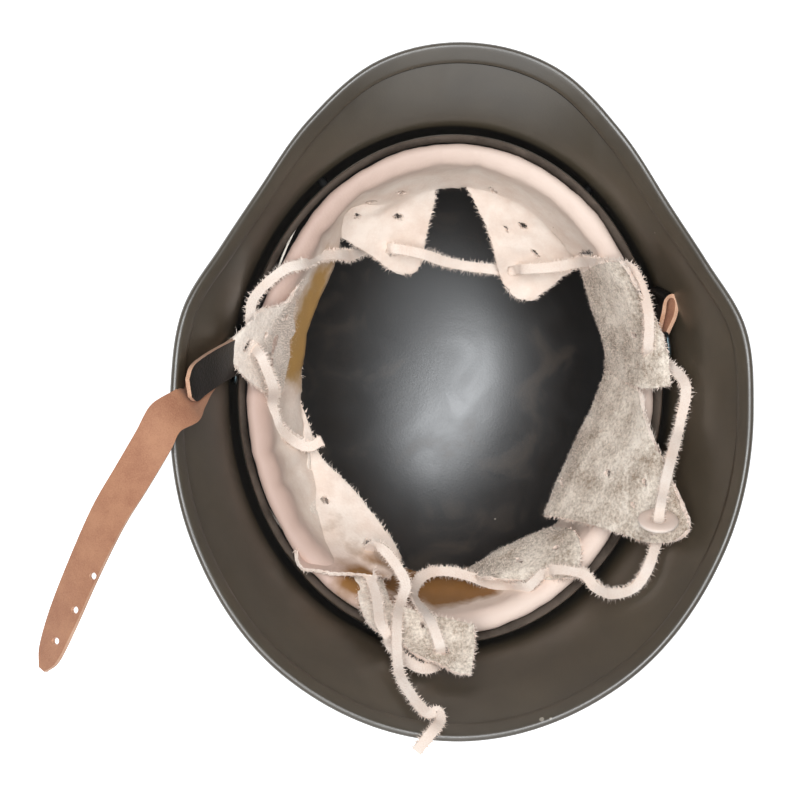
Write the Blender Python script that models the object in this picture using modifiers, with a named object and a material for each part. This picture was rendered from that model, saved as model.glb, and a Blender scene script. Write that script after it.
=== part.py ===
# Steel helmet lying on its crown, with an open, unlaced leather liner and a loose chin strap.
# Metres, +Z up. The origin is on the crown, the visor points to +Y and the wearer's left is +X.
import math

import bmesh
import bpy
import numpy as np
from mathutils import Vector

MM = 0.001
GAP = 0.4 * MM

# Shell
STEEL = 1.2 * MM
DOME_HALF_WIDTH = 95.5 * MM
DOME_HALF_LENGTH = 113.0 * MM
DOME_DEPTH = 108.0 * MM
DOME_SQUARENESS = 2.25
CROWN_FACET_ANGLE = 9.0
HEM_DEPTH = 7.0 * MM
HEM_RADIUS = 1.7 * MM
SHELL_SIDES = 54
DOME_STEPS = 7
FLARE_STEPS = 5

# Half width, half length and depth of the dome, in mm, that the places below are drawn for
DRAWN_DOME = (95.5, 113.0, 108.0)

# Rim: angle from +X in degrees, reach and height in mm, slope of the edge in degrees
RIM = (
    (-90, 141.0, 165, 50),
    (-60, 135.6, 165, 54),
    (-30, 125.6, 165, 58),
    (0, 119.5, 164, 60),
    (16, 119.7, 160, 56),
    (30, 115.7, 150, 50),
    (44, 117.6, 139, 42),
    (60, 128.3, 131, 32),
    (75, 140.5, 130, 26),
    (90, 144.3, 130, 24),
)

# Liner bands
BAND_TO_WALL = 6.1 * MM
BAND_HALF_WIDTH = DOME_HALF_WIDTH - BAND_TO_WALL
BAND_HALF_LENGTH = DOME_HALF_LENGTH - BAND_TO_WALL
BAND_THICKNESS = 1.0 * MM
BAND_TOP = DOME_DEPTH + 5.0 * MM
BAND_HEIGHT = 20.0 * MM
BAND_SPACING = 7.5 * MM
BAND_SIDES = 48
SPRING_THICKNESS = 0.8 * MM
SPRING_HEIGHT = 9.0 * MM
SPRING_SPAN = 26.0
SPRING_ANGLES = (35.0, 145.0, 215.0, 325.0)

# Split pins that hang the liner in the shell
PIN_ANGLES = (52.0, 128.0, 270.0)
PIN_HEIGHT = BAND_TOP - 14.0 * MM
PIN_HEAD_RADIUS = 6.0 * MM
PIN_HEAD_RISE = 2.4 * MM
PIN_SHANK_RADIUS = 1.9 * MM
PIN_LEG_RADIUS = 3.8 * MM
PIN_HOLE_REACH = 30.0 * MM

# Leather liner
LEATHER = 1.8 * MM
LINER_COLUMNS = 64

# Sweatband section over the inner band: inward offset from the band and height, in mm
SWEATBAND = (
    (-1.8, 104.5),
    (-1.9, 111.8),
    (-0.9, 113.7),
    (0.9, 113.7),
    (2.1, 111.0),
    (4.4, 102.5),
    (8.6, 93.0),
    (14.0, 85.5),
    (20.0, 80.0),
)

# The sweatband leans in more at the wearer's right than at the left: share at an angle
SWEATBAND_LEAN = 0.7
SWEATBAND_LEAN_CHANGE = 0.3
SWEATBAND_HELD = 2.1
SWEATBAND_UPRIGHT_ANGLE = 20.0

# Fingers: the first sweatband column, the columns across, and folds from root to tip.
# Each fold has the angle in degrees, inward offset and height in mm of its clockwise edge, the
# same of its other edge, and how far its middle bulges up.
FINGERS = {
    "right_front": (1, 6, (
        (8, 11.5, 78, 36, 11, 78, 0),
        (7, 13, 84, 35, 12, 85, 0),
        (6, 10, 102, 32, 9, 103, 1),
        (4, 2, 119, 28, 1, 120, 1),
        (3, -7, 130, 21, -6, 131, 0),
    )),
    "front_left": (9, 6, (
        (40, 13, 76, 71, 29, 74, -3),
        (37, 21, 70, 60, 37, 68, -3),
        (35, 33, 62, 41, 40, 62, -1),
    )),
    "front_right": (17, 6, (
        (99, 25, 74, 131, 17, 76, -3),
        (102, 38, 67, 129, 29, 67, -2),
        (105, 44, 62, 119, 45, 62, 0),
    )),
    "left_front": (25, 6, (
        (152, 21.5, 78, 182, 21.5, 78, 0),
        (154, 22, 84, 183, 22, 84, 0),
        (155, 14, 100, 183, 13, 100, 1),
        (161, 3, 119, 180, 3, 119, 1),
        (172, -6.5, 131, 176, -6.5, 131, 0),
    )),
    "left_rear": (33, 6, (
        (204, 27, 80, 226, 11, 97, -2),
        (222, 31, 86, 232, 8, 111, -2),
        (239, 30, 91, 240, 8, 118, -1),
        (254, 22, 95, 249, 13, 112, 0),
    )),
    "rear_right": (41, 3, (
        (249, 14, 89, 237, 14, 89, 0),
        (249, 10, 104, 239, 8, 105, 0),
        (254, 2, 118, 245, -2, 119, 0),
        (264, 2, 124, 259, -10, 132, 1),
        (278, 1, 131, 275, -17, 142, 1),
    )),
    "rear_left": (49, 6, (
        (284, 18, 78, 314, 15, 78, 0),
        (286, 18.5, 84, 318, 13, 86, 0),
        (287, 15, 97, 317, 7, 108, 1),
        (291, 12, 103, 312, -5, 121, 0),
    )),
    "right_rear": (57, 6, (
        (320, 14, 78, 360, 13, 78, 0),
        (320, 17, 84, 362, 15, 84, 0),
        (320, 12, 100, 363, 10, 100, 1),
        (326, 0, 120, 362, 2, 117, 1),
        (327.5, -15, 142, 361, 0, 122, 1),
        (334.5, -24, 156, 361, -3, 127, 0),
    )),
}

# Lace
LACE_DIAMETER = 4.2 * MM
LACE_CLEARANCE = 0.35 * MM
LACE_SPAN = 18.0 * MM

# Lace route in mm, from its short free end round the finger tips to its long free end
LACE_ROUTE = (
    (-52, -24, 92), (-58, -27, 90), (-65, -24, 93), (-72, -17, 103.5), (-75, -8, 110.5),
    (-75.5, -0.5, 123.5), (-81, 11.5, 130), (-84, 16, 124.5), (-84.5, 20, 119.5), (-85, 35, 118),
    (-73, 48, 119), (-64, 51, 114.5), (-57, 54, 99), (-47, 55, 87.5), (-41, 54.5, 73),
    (-35, 56.5, 63), (-28, 57, 62), (-25, 58, 66.5), (-22, 58, 71.5), (-10, 56, 70),
    (0, 53, 65), (12, 51, 61), (28.5, 50, 61.5), (32, 51, 66), (35, 51, 71.5),
    (49, 53, 79), (56, 55, 87.5), (59.5, 55.5, 105.5), (64.5, 55, 120.5), (73, 53, 127),
    (79, 37, 134), (80, 22, 132), (81, 18, 126), (84, 15, 121), (88, 15, 122),
    (96, 6, 134), (94, -10, 135), (91, -19, 141.5), (88, -28, 148), (85.5, -37, 152.5),
    (83.6, -44.5, 157.3), (83.9, -53.4, 151.5), (84.8, -54.7, 145.5), (85.3, -58, 140), (85, -62, 138.5),
    (81, -72, 142), (76, -79, 141), (68, -82, 135.5), (62, -80, 129), (57, -75, 126),
    (46, -74, 118.5), (44, -77, 112.5), (41, -76, 115.5), (35, -82.5, 112.5), (29, -83.5, 101),
    (22, -83, 94), (11, -80, 88.5), (3, -79, 86), (-5, -80, 87.5), (-10, -84, 92),
    (-12, -88, 102), (-10.5, -91, 119), (-7.5, -95.5, 135), (-4, -104, 139), (-3, -108, 136),
    (-3, -112, 131.5), (-7, -115, 136), (-14, -114, 136), (-22.5, -107.5, 128.5), (-25, -102, 132.5),
    (-28, -97, 130.5), (-29, -88, 120), (-31, -80.5, 110.5), (-31.3, -75.5, 102.5), (-31, -71.5, 97),
    (-31, -68, 102.5), (-29.5, -66.5, 108), (-24, -70, 110.5), (-16.5, -81.5, 113), (-18.5, -89, 117.5),
    (-21, -96.5, 130), (-21, -112, 139.5), (-19, -120, 149), (-11, -130, 162), (-6, -129.5, 163.5),
    (-5, -133, 166.5), (-9, -137, 171.5), (-15, -145, 172),
)

# Rows of the route that lie in a finger's hole
LACE_THROUGH = (7, 17, 23, 32, 42, 51, 64, 75)

# Washer on the lace, over the large right rear finger
WASHER_PLACE = (83.35, -49.4, 155.0)
WASHER_LEAN = (-0.03, 0.88, 0.47)
WASHER_RADIUS = 8.5 * MM
WASHER_THICKNESS = 2.0 * MM
WASHER_HOLE = 3.0 * MM

# Chin strap
STRAP_WIDTH = 16.0 * MM
STRAP_THICKNESS = 1.8 * MM
STRAP_WRAP_GAP = 0.3 * MM
STRAP_HOLE_RADIUS = 1.3 * MM
STRAP_HOLE_PITCH = 16.0 * MM
STRAP_HOLES = 3
STRAP_FIRST_HOLE = 13.0 * MM
PUNCH_REACH = 14.0 * MM
BAIL_WIRE = 1.8 * MM
BAIL_CORNER = 2.5

# Folded end of the long strap: angle in degrees, share of the way up the skirt, offset in mm
STRAP_TAB = (
    (173.5, 0.86, 6.6),
    (173.2, 0.68, 5.9),
    (172.9, 0.46, 5.9),
    (172.6, 0.28, 6.0),
)
STRAP_UNDER = (
    (172.6, 0.28, 2.3),
    (173.4, 0.46, 2.6),
    (175.5, 0.66, 2.6),
    (179.0, 0.82, 3.4),
    (181.0, 0.95, 5.0),
)
# Free run of the long strap past the rim: x, y, z in mm, roll in degrees and share of the width
STRAP_RUN = (
    (-119.0, -6, 170.5, 0, 1.0),
    (-124.0, -16, 172.5, 8, 1.0),
    (-133.0, -33, 170.0, 16, 1.0),
    (-143.0, -53, 163.0, 26, 1.0),
    (-152.0, -75, 154.0, 36, 1.0),
    (-160.0, -97, 146.0, 44, 1.0),
    (-165.0, -112, 141.0, 48, 0.8),
    (-167.5, -119, 139.0, 48, 0.25),
)
LEFT_BAIL = (-90.15, 12.0, 103.0, 119.0, 23.0)
RIGHT_BAIL = (88.6, 22.6, 103.0, 131.0, 8.8)

# Short strap seen from above, in mm: from its tail round the right bail's front wire
SHORT_STRAP = (
    (78.5, 48.0), (82.0, 45.2), (85.2, 42.2), (87.2, 38.5), (88.4, 34.0), (89.6, 30.3),
    (90.05, 27.3), (89.5, 25.5), (87.9, 24.75), (86.3, 25.4), (85.45, 27.0), (84.8, 31.5),
    (84.0, 36.0), (83.2, 39.0),
)
SHORT_STRAP_WIDTH = 11.5 * MM
SHORT_STRAP_OVER_BAND = 3.0 * MM

MATERIALS = {
    "field_grey_paint": ((0.075, 0.060, 0.045), 0.45, 0.0),
    "liner_steel": ((0.45, 0.44, 0.42), 0.30, 1.0),
    "liner_leather": ((0.78, 0.62, 0.52), 0.65, 0.0),
    "strap_leather": ((0.50, 0.27, 0.17), 0.50, 0.0),
}


def clear_scene():
    for obj in list(bpy.data.objects):
        bpy.data.objects.remove(obj, do_unlink=True)


def collection(name):
    made = bpy.data.collections.new(name)
    bpy.context.scene.collection.children.link(made)
    return made


def material(name):
    color, roughness, metallic = MATERIALS[name]
    made = bpy.data.materials.get(name)
    if made is None:
        made = bpy.data.materials.new(name)
        made.use_nodes = True
        shader = made.node_tree.nodes["Principled BSDF"]
        shader.inputs["Base Color"].default_value = (*color, 1.0)
        shader.inputs["Roughness"].default_value = roughness
        shader.inputs["Metallic"].default_value = metallic
    return made


def mesh_object(name, points, faces, finish, parts):
    mesh = bpy.data.meshes.new(name)
    mesh.from_pydata([tuple(p) for p in points], [], faces)
    mesh.materials.append(material(finish))
    obj = bpy.data.objects.new(name, mesh)
    parts.objects.link(obj)
    return obj


def smooth(obj, degrees=40.0):
    obj.data.shade_smooth()
    obj.data.set_sharp_from_angle(angle=math.radians(degrees))


def ellipse(half_width, half_length, degrees):
    turn = math.radians(degrees)
    return np.array((half_width * math.cos(turn), half_length * math.sin(turn)))


def eased(stations, columns, at):
    """Smooth curve through rows of numbers, read at a place in the first column."""
    places = np.array([row[0] for row in stations], float)
    values = np.array([[row[c] for c in columns] for row in stations], float)
    slopes = np.gradient(values, places, axis=0)
    slopes[0] = 0.0
    slopes[-1] = 0.0
    i = int(np.clip(np.searchsorted(places, at) - 1, 0, len(places) - 2))
    step = places[i + 1] - places[i]
    s = (at - places[i]) / step
    start = (2 * s**3 - 3 * s**2 + 1) * values[i] + (s**3 - 2 * s**2 + s) * step * slopes[i]
    end = (3 * s**2 - 2 * s**3) * values[i + 1] + (s**3 - s**2) * step * slopes[i + 1]
    return start + end


def through(points, steps):
    """Catmull-Rom curve through points, with an even number of steps for each span."""
    p = np.array(points, float)
    ends = np.vstack([2 * p[0] - p[1], p, 2 * p[-1] - p[-2]])
    curve = []
    for i in range(len(p) - 1):
        a, b, c, d = ends[i:i + 4]
        for k in range(steps):
            t = k / steps
            curve.append(0.5 * (2 * b + (c - a) * t + (2 * a - 5 * b + 4 * c - d) * t**2
                                + (3 * b - a - 3 * c + d) * t**3))
    curve.append(p[-1])
    return np.array(curve)


def grid_faces(rows, columns, wrap):
    """Quads between neighbouring rows of a grid whose columns may close into a ring."""
    faces = []
    for r in range(rows - 1):
        for c in range(columns if wrap else columns - 1):
            n = (c + 1) % columns
            faces.append((r * columns + c, r * columns + n, (r + 1) * columns + n, (r + 1) * columns + c))
    return faces


def ring_loft(name, section_at, sides, finish, parts):
    """A closed ring swept round the helmet's axis from a closed section in (x, y, z)."""
    sections = [section_at(360.0 * j / sides) for j in range(sides)]
    count = len(sections[0])
    points = [sections[j][i] for i in range(count) for j in range(sides)]
    faces = []
    for i in range(count):
        for j in range(sides):
            k = (j + 1) % sides
            n = (i + 1) % count
            faces.append((i * sides + j, i * sides + k, n * sides + k, n * sides + j))
    return mesh_object(name, points, faces, finish, parts)


def grown():
    """How much wider, longer and deeper the dome is than the one that the places are drawn for."""
    width, length, depth = DRAWN_DOME
    return DOME_HALF_WIDTH - width * MM, DOME_HALF_LENGTH - length * MM, DOME_DEPTH - depth * MM


def fitted(x, y, z):
    """A drawn place in mm, moved out and up with the dome."""
    wider, longer, deeper = grown()
    turn = math.atan2(y / DRAWN_DOME[1], x / DRAWN_DOME[0])
    return Vector((x * MM + wider * math.cos(turn), y * MM + longer * math.sin(turn), z * MM + deeper))


def rim_at(degrees):
    turn = math.radians(degrees)
    folded = math.degrees(math.atan2(math.sin(turn), abs(math.cos(turn))))
    reach, height, slope = eased(RIM, (1, 2, 3), folded)
    drawn = ellipse_radius(DRAWN_DOME[0] * MM, DRAWN_DOME[1] * MM, degrees)
    return reach * MM + dome_radius(degrees) - drawn, height * MM + grown()[2], math.radians(slope)


def ellipse_radius(half_width, half_length, degrees):
    turn = math.radians(degrees)
    return 1.0 / math.hypot(math.cos(turn) / half_width, math.sin(turn) / half_length)


def dome_radius(degrees):
    return ellipse_radius(DOME_HALF_WIDTH, DOME_HALF_LENGTH, degrees)


def dome_line(degrees):
    """Outer dome from the crown's flat to the wall, as radius and height."""
    wall = dome_radius(degrees)
    power = 2.0 / DOME_SQUARENESS
    flat = DOME_DEPTH * (1.0 - math.cos(math.radians(CROWN_FACET_ANGLE)) ** power)
    line = []
    for tau in np.linspace(CROWN_FACET_ANGLE, 90.0, DOME_STEPS + 1)[:-1]:
        turn = math.radians(tau)
        rise = DOME_DEPTH * (1.0 - math.cos(turn) ** power)
        line.append((wall * math.sin(turn) ** power, (rise - flat) * DOME_DEPTH / (DOME_DEPTH - flat)))
    return line


def flare_line(degrees):
    """Outer flare from the wall to the rim, as radius and height, with a hem at its end."""
    reach, height, slope = rim_at(degrees)
    wall = dome_radius(degrees)
    lean = 0.55 * (reach - wall)
    start = np.array((wall, DOME_DEPTH))
    rise = np.array((wall, DOME_DEPTH + 0.42 * (height - DOME_DEPTH)))
    turn = np.array((reach - lean, height - lean * math.tan(slope)))
    end = np.array((reach, height))
    s = np.linspace(0.0, 1.0, 60)[:, None]
    curve = (1 - s)**3 * start + 3 * (1 - s)**2 * s * rise + 3 * (1 - s) * s**2 * turn + s**3 * end
    run = np.r_[0.0, np.cumsum(np.linalg.norm(np.diff(curve, axis=0), axis=1))]
    places = np.r_[np.linspace(0.0, run[-1] - HEM_DEPTH, FLARE_STEPS), run[-1]]
    return [(np.interp(p, run, curve[:, 0]), np.interp(p, run, curve[:, 1])) for p in places]


def shell_section(degrees):
    """Closed section of the sheet: outer face, rolled hem and inner face, crown to crown."""
    outer = np.array(dome_line(degrees) + flare_line(degrees))
    along = np.gradient(outer, axis=0)
    along[0] = (1.0, 0.0)
    along /= np.linalg.norm(along, axis=1)[:, None]
    inward = np.stack([-along[:, 1], along[:, 0]], axis=1)
    inner = outer + STEEL * inward
    axis = outer[-1] + HEM_RADIUS * inward[-1]
    roll = [axis + HEM_RADIUS * (math.sin(a) * along[-1] - math.cos(a) * inward[-1])
            for a in np.radians((45.0, 90.0, 135.0))]
    hem = [outer[-1] + 2 * HEM_RADIUS * inward[-1],
           outer[-2] + 2 * HEM_RADIUS * inward[-2] + 0.4 * HEM_RADIUS * along[-2],
           outer[-2] + 1.5 * HEM_RADIUS * inward[-2]]
    return np.vstack([outer, roll, hem, inner[-2::-1]])


def make_shell(parts, cutters):
    sections = [shell_section(360.0 * j / SHELL_SIDES) for j in range(SHELL_SIDES)]
    count = len(sections[0])
    points = []
    for i in range(count):
        for j in range(SHELL_SIDES):
            turn = 2.0 * math.pi * j / SHELL_SIDES
            r, z = sections[j][i]
            points.append((r * math.cos(turn), r * math.sin(turn), z))
    faces = grid_faces(count, SHELL_SIDES, True)
    faces.append(tuple(range(SHELL_SIDES))[::-1])
    faces.append(tuple((count - 1) * SHELL_SIDES + j for j in range(SHELL_SIDES)))
    shell = mesh_object("shell", points, faces, "field_grey_paint", parts)
    cut_pin_holes(shell, cutters)
    smooth(shell, 35.0)
    return shell


def band_section(half_width, half_length, thickness, low, high):
    def section(degrees):
        x0, y0 = ellipse(half_width, half_length, degrees)
        x1, y1 = ellipse(half_width - thickness, half_length - thickness, degrees)
        return [(x0, y0, low), (x0, y0, high), (x1, y1, high), (x1, y1, low)]
    return section


def make_bands(parts, cutters):
    low = BAND_TOP - BAND_HEIGHT
    outer = ring_loft(
        "liner_outer_band",
        band_section(BAND_HALF_WIDTH, BAND_HALF_LENGTH, BAND_THICKNESS, low, BAND_TOP),
        BAND_SIDES, "liner_steel", parts)
    cut_pin_holes(outer, cutters)
    inner_top = SWEATBAND[2][1] * MM + grown()[2] - LEATHER - GAP
    inner = ring_loft(
        "liner_inner_band",
        band_section(BAND_HALF_WIDTH - BAND_SPACING, BAND_HALF_LENGTH - BAND_SPACING, BAND_THICKNESS,
                     low, inner_top),
        BAND_SIDES, "liner_steel", parts)
    return outer, inner


def pin_frame(degrees):
    """Place and outward direction of a pin on the outer band."""
    x, y = ellipse(BAND_HALF_WIDTH, BAND_HALF_LENGTH, degrees)
    out = Vector((x / BAND_HALF_WIDTH**2, y / BAND_HALF_LENGTH**2, 0.0)).normalized()
    return Vector((x, y, PIN_HEIGHT)), out


def cut_pin_holes(obj, cutters):
    for degrees in PIN_ANGLES:
        place, out = pin_frame(degrees)
        bpy.ops.mesh.primitive_cylinder_add(vertices=12, radius=PIN_SHANK_RADIUS + GAP, depth=PIN_HOLE_REACH)
        cutter = bpy.context.object
        cutter.name = "cut_" + obj.name + "_pin"
        move_to(cutter, cutters)
        cutter.location = place
        cutter.rotation_euler = out.to_track_quat("Z", "Y").to_euler()
        subtract(obj, cutter)


def move_to(obj, target):
    for held in list(obj.users_collection):
        held.objects.unlink(obj)
    target.objects.link(obj)
    obj.hide_render = True
    obj.display_type = "WIRE"


def subtract(obj, cutter):
    cut = obj.modifiers.new("cut " + cutter.name, "BOOLEAN")
    cut.operation = "DIFFERENCE"
    cut.solver = "EXACT"
    cut.object = cutter


def make_pins(parts):
    for number, degrees in enumerate(PIN_ANGLES, 1):
        place, out = pin_frame(degrees)
        wall = wall_distance(place, out)
        legs = -(BAND_THICKNESS + GAP)
        head = wall + GAP
        profile = [(0.0, head + PIN_HEAD_RISE)]
        for a in (30.0, 60.0, 90.0):
            turn = math.radians(a)
            profile.append((PIN_HEAD_RADIUS * math.sin(turn), head + PIN_HEAD_RISE * math.cos(turn)))
        profile += [(PIN_SHANK_RADIUS, head), (PIN_SHANK_RADIUS, legs), (PIN_LEG_RADIUS, legs),
                    (PIN_LEG_RADIUS, legs - 0.8 * MM), (0.0, legs - 0.8 * MM)]
        pin = turned("liner_pin_%d" % number, profile, 10, "field_grey_paint", parts)
        pin.location = place
        pin.rotation_euler = out.to_track_quat("Z", "Y").to_euler()
        smooth(pin)


def wall_distance(place, out):
    """How far the dome's outer face lies from a place on the outer band, along a direction."""
    start = Vector((place.x, place.y))
    aim = Vector((out.x, out.y))
    power = 2.0 / DOME_SQUARENESS
    low = DOME_DEPTH - PIN_HEIGHT
    share = math.acos((low / DOME_DEPTH) ** (1.0 / power))
    scale = math.sin(share) ** power
    far = 0.0
    while True:
        x, y = start + far * aim
        if math.hypot(x / DOME_HALF_WIDTH, y / DOME_HALF_LENGTH) >= 1.0 * scale + 0.004:
            return far
        far += 0.05 * MM


def turned(name, profile, steps, finish, parts):
    """A turned solid about Z, from a profile that runs down its outer side."""
    mesh = bpy.data.meshes.new(name)
    edges = [(i, i + 1) for i in range(len(profile) - 1)]
    mesh.from_pydata([(r, 0.0, z) for r, z in profile], edges, [])
    mesh.materials.append(material(finish))
    obj = bpy.data.objects.new(name, mesh)
    parts.objects.link(obj)
    screw = obj.modifiers.new("turn", "SCREW")
    screw.steps = steps
    screw.render_steps = steps
    screw.use_merge_vertices = True
    screw.merge_threshold = 0.00001
    return obj


def make_springs(parts):
    """Leaf springs that run from the outer band in to the inner one."""
    low = BAND_TOP - BAND_HEIGHT + 1.5 * MM
    reach = BAND_SPACING - 2 * BAND_THICKNESS
    for number, middle in enumerate(SPRING_ANGLES, 1):
        rows = []
        for k in range(9):
            share = k / 8
            degrees = middle + (share - 0.5) * SPRING_SPAN
            depth = BAND_THICKNESS + GAP + (reach - GAP) * (0.5 - 0.5 * math.cos(math.pi * share)) * 0.8
            rows.append((ellipse(BAND_HALF_WIDTH - depth, BAND_HALF_LENGTH - depth, degrees), low))
        path = [(x, y, z + SPRING_HEIGHT / 2) for (x, y), z in rows]
        upright = [Vector((0.0, 0.0, 1.0))] * len(path)
        spring = strip("band_spring_%d" % number, path, upright, [SPRING_HEIGHT] * len(path),
                       SPRING_THICKNESS, 1, "liner_steel", parts)
        shift_inward(spring, SPRING_THICKNESS / 2)


def shift_inward(obj, distance):
    obj.modifiers["thickness"].offset = 1.0 if distance > 0 else -1.0


def strip(name, path, across, widths, thickness, cells, finish, parts):
    """A flat strip along a path, with a width direction and a width at each of its points."""
    points = []
    for place, side, width in zip(path, across, widths):
        for k in range(cells + 1):
            points.append(Vector(place) + side * width * (k / cells - 0.5))
    faces = grid_faces(len(path), cells + 1, False)
    obj = mesh_object(name, points, faces, finish, parts)
    thicken(obj, thickness)
    return obj


def thicken(obj, thickness, even=True):
    solid = obj.modifiers.new("thickness", "SOLIDIFY")
    solid.thickness = thickness
    solid.offset = 0.0
    solid.use_even_offset = even


def liner_point(degrees, inward, height):
    """A place given by its angle, its offset inward from the sweatband's crest and its height."""
    inset = BAND_SPACING + BAND_THICKNESS / 2 + inward * MM
    x, y = ellipse(BAND_HALF_WIDTH - inset, BAND_HALF_LENGTH - inset, degrees)
    return np.array((x, y, height * MM + grown()[2]))


def sweatband_point(row, column):
    inward, height = row
    degrees = 360.0 * column / LINER_COLUMNS
    turn = math.radians(degrees - SWEATBAND_UPRIGHT_ANGLE)
    if inward > SWEATBAND_HELD:
        inward = SWEATBAND_HELD + (inward - SWEATBAND_HELD) * (SWEATBAND_LEAN - SWEATBAND_LEAN_CHANGE * math.cos(turn))
    return liner_point(degrees, inward, height)


def finger_rows(first, cells, folds):
    """Rows of points of one finger, from the sweatband's edge to its tip."""
    lines = []
    for k in range(cells + 1):
        share = k / cells
        line = [sweatband_point(row, first + k) for row in SWEATBAND[-2:]]
        for angle, inward, height, angle_b, inward_b, height_b, bulge in folds:
            start = liner_point(angle, inward, height)
            end = liner_point(angle_b, inward_b, height_b)
            arch = np.array((0.0, 0.0, bulge * MM)) * 4 * share * (1 - share)
            line.append(start + (end - start) * share + arch)
        lines.append(through(line, 2)[2:])
    return [[line[r] for line in lines] for r in range(len(lines[0]))]


def make_leather(parts):
    points = []
    faces = []
    for row in SWEATBAND:
        points += [sweatband_point(row, c) for c in range(LINER_COLUMNS)]
    faces += grid_faces(len(SWEATBAND), LINER_COLUMNS, True)
    edge = (len(SWEATBAND) - 1) * LINER_COLUMNS
    for first, cells, folds in FINGERS.values():
        rows = finger_rows(first, cells, folds)
        before = [edge + (first + k) % LINER_COLUMNS for k in range(cells + 1)]
        for row in rows[1:]:
            here = list(range(len(points), len(points) + cells + 1))
            points += row
            for k in range(cells):
                faces.append((before[k], before[k + 1], here[k + 1], here[k]))
            before = here
    leather = mesh_object("liner_leather", points, faces, "liner_leather", parts)
    thicken(leather, LEATHER, even=False)
    smooth(leather, 60.0)
    return leather


def tube(name, points, diameter, sides_level, finish, parts, closed=False):
    curve = bpy.data.curves.new(name, "CURVE")
    curve.dimensions = "3D"
    curve.bevel_depth = diameter / 2
    curve.bevel_resolution = sides_level
    curve.use_fill_caps = not closed
    spline = curve.splines.new("POLY")
    spline.points.add(len(points) - 1)
    for held, place in zip(spline.points, points):
        held.co = (*place, 1.0)
    spline.use_cyclic_u = closed
    curve.materials.append(material(finish))
    obj = bpy.data.objects.new(name, curve)
    parts.objects.link(obj)
    return obj


def lace_route():
    return np.array([fitted(*place) for place in LACE_ROUTE])


def lace_points():
    """The lace's route with one more point in each long span of a smooth curve through it."""
    route = lace_route()
    fine = through(route, 2)
    points = [fine[0]]
    for i in range(1, len(route)):
        if np.linalg.norm(route[i] - route[i - 1]) > LACE_SPAN:
            points.append(fine[2 * i - 1])
        points.append(route[i])
    return points


def make_lace(parts):
    return tube("liner_lace", lace_points(), LACE_DIAMETER, 2, "liner_leather", parts)


def cut_lace_holes(leather, cutters):
    """Holes in the finger tips, each cut by a short fat stretch of the lace's own route."""
    route = lace_route()
    for at in LACE_THROUGH:
        guide = tube("cut_lace", route[at - 1:at + 2], LACE_DIAMETER + 2 * LACE_CLEARANCE, 2,
                     "liner_leather", cutters)
        cutter = as_mesh(guide, "cut_lace_hole", cutters)
        move_to(cutter, cutters)
        subtract(leather, cutter)


def as_mesh(curve, name, parts):
    """The closed mesh of a curve object, in its place."""
    bpy.context.view_layer.update()
    whole = curve.evaluated_get(bpy.context.evaluated_depsgraph_get())
    mesh = bpy.data.meshes.new_from_object(whole)
    weld = bmesh.new()
    weld.from_mesh(mesh)
    bmesh.ops.remove_doubles(weld, verts=weld.verts, dist=0.00001)
    weld.to_mesh(mesh)
    weld.free()
    obj = bpy.data.objects.new(name, mesh)
    obj.matrix_world = curve.matrix_world
    parts.objects.link(obj)
    bpy.data.objects.remove(curve, do_unlink=True)
    return obj


def make_washer(parts):
    low = -WASHER_THICKNESS / 2
    high = WASHER_THICKNESS / 2
    profile = [(WASHER_HOLE, high), (WASHER_RADIUS - 0.5 * MM, high), (WASHER_RADIUS, 0.0),
               (WASHER_RADIUS - 0.5 * MM, low), (WASHER_HOLE, low), (WASHER_HOLE, high)]
    washer = turned("lace_washer", profile, 16, "liner_leather", parts)
    washer.location = fitted(*WASHER_PLACE)
    washer.rotation_euler = Vector(WASHER_LEAN).to_track_quat("Z", "Y").to_euler()
    smooth(washer)


def band_slope(x, y):
    """How far the bands turn sideways per unit forward at a place beside them."""
    return -y / x * (BAND_HALF_WIDTH / BAND_HALF_LENGTH) ** 2


def make_bail(name, bail, parts):
    """A wire loop hung on the outer band: its middle, bottom, top and width in mm."""
    x, y, low, high, width = bail
    corner = BAIL_CORNER
    slope = band_slope(x, y)
    points = []
    for side, level, turns in ((1, high, (0, 90)), (-1, high, (90, 180)), (-1, low, (180, 270)),
                               (1, low, (270, 360))):
        cy = side * (width / 2 - corner)
        cz = level - corner if level == high else level + corner
        for k in range(4):
            a = math.radians(turns[0] + (turns[1] - turns[0]) * k / 3)
            off = cy + corner * math.cos(a)
            away = Vector((slope * off, off, cz - high + corner * math.sin(a))) * MM
            points.append(fitted(x, y, high) + away)
    return tube(name, points, BAIL_WIRE, 2, "liner_steel", parts, closed=True)


def skirt_place(degrees, share, offset):
    """A place over the skirt's inner face and the face's normal there: angle, share of its
    height and offset inward in mm."""
    line = np.array(flare_line(degrees))
    run = np.r_[0.0, np.cumsum(np.linalg.norm(np.diff(line, axis=0), axis=1))]
    at = share * run[-1]
    here, ahead, back = (np.array([np.interp(at + step, run, line[:, k]) for k in (0, 1)])
                         for step in (0.0, MM, -MM))
    along = (ahead - back) / np.linalg.norm(ahead - back)
    inward = np.array((-along[1], along[0]))
    r, z = here + inward * (STEEL + offset * MM)
    turn = math.radians(degrees)
    out = Vector((math.cos(turn), math.sin(turn), 0.0))
    return out * r + Vector((0.0, 0.0, z)), out * inward[0] + Vector((0.0, 0.0, inward[1]))


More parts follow.
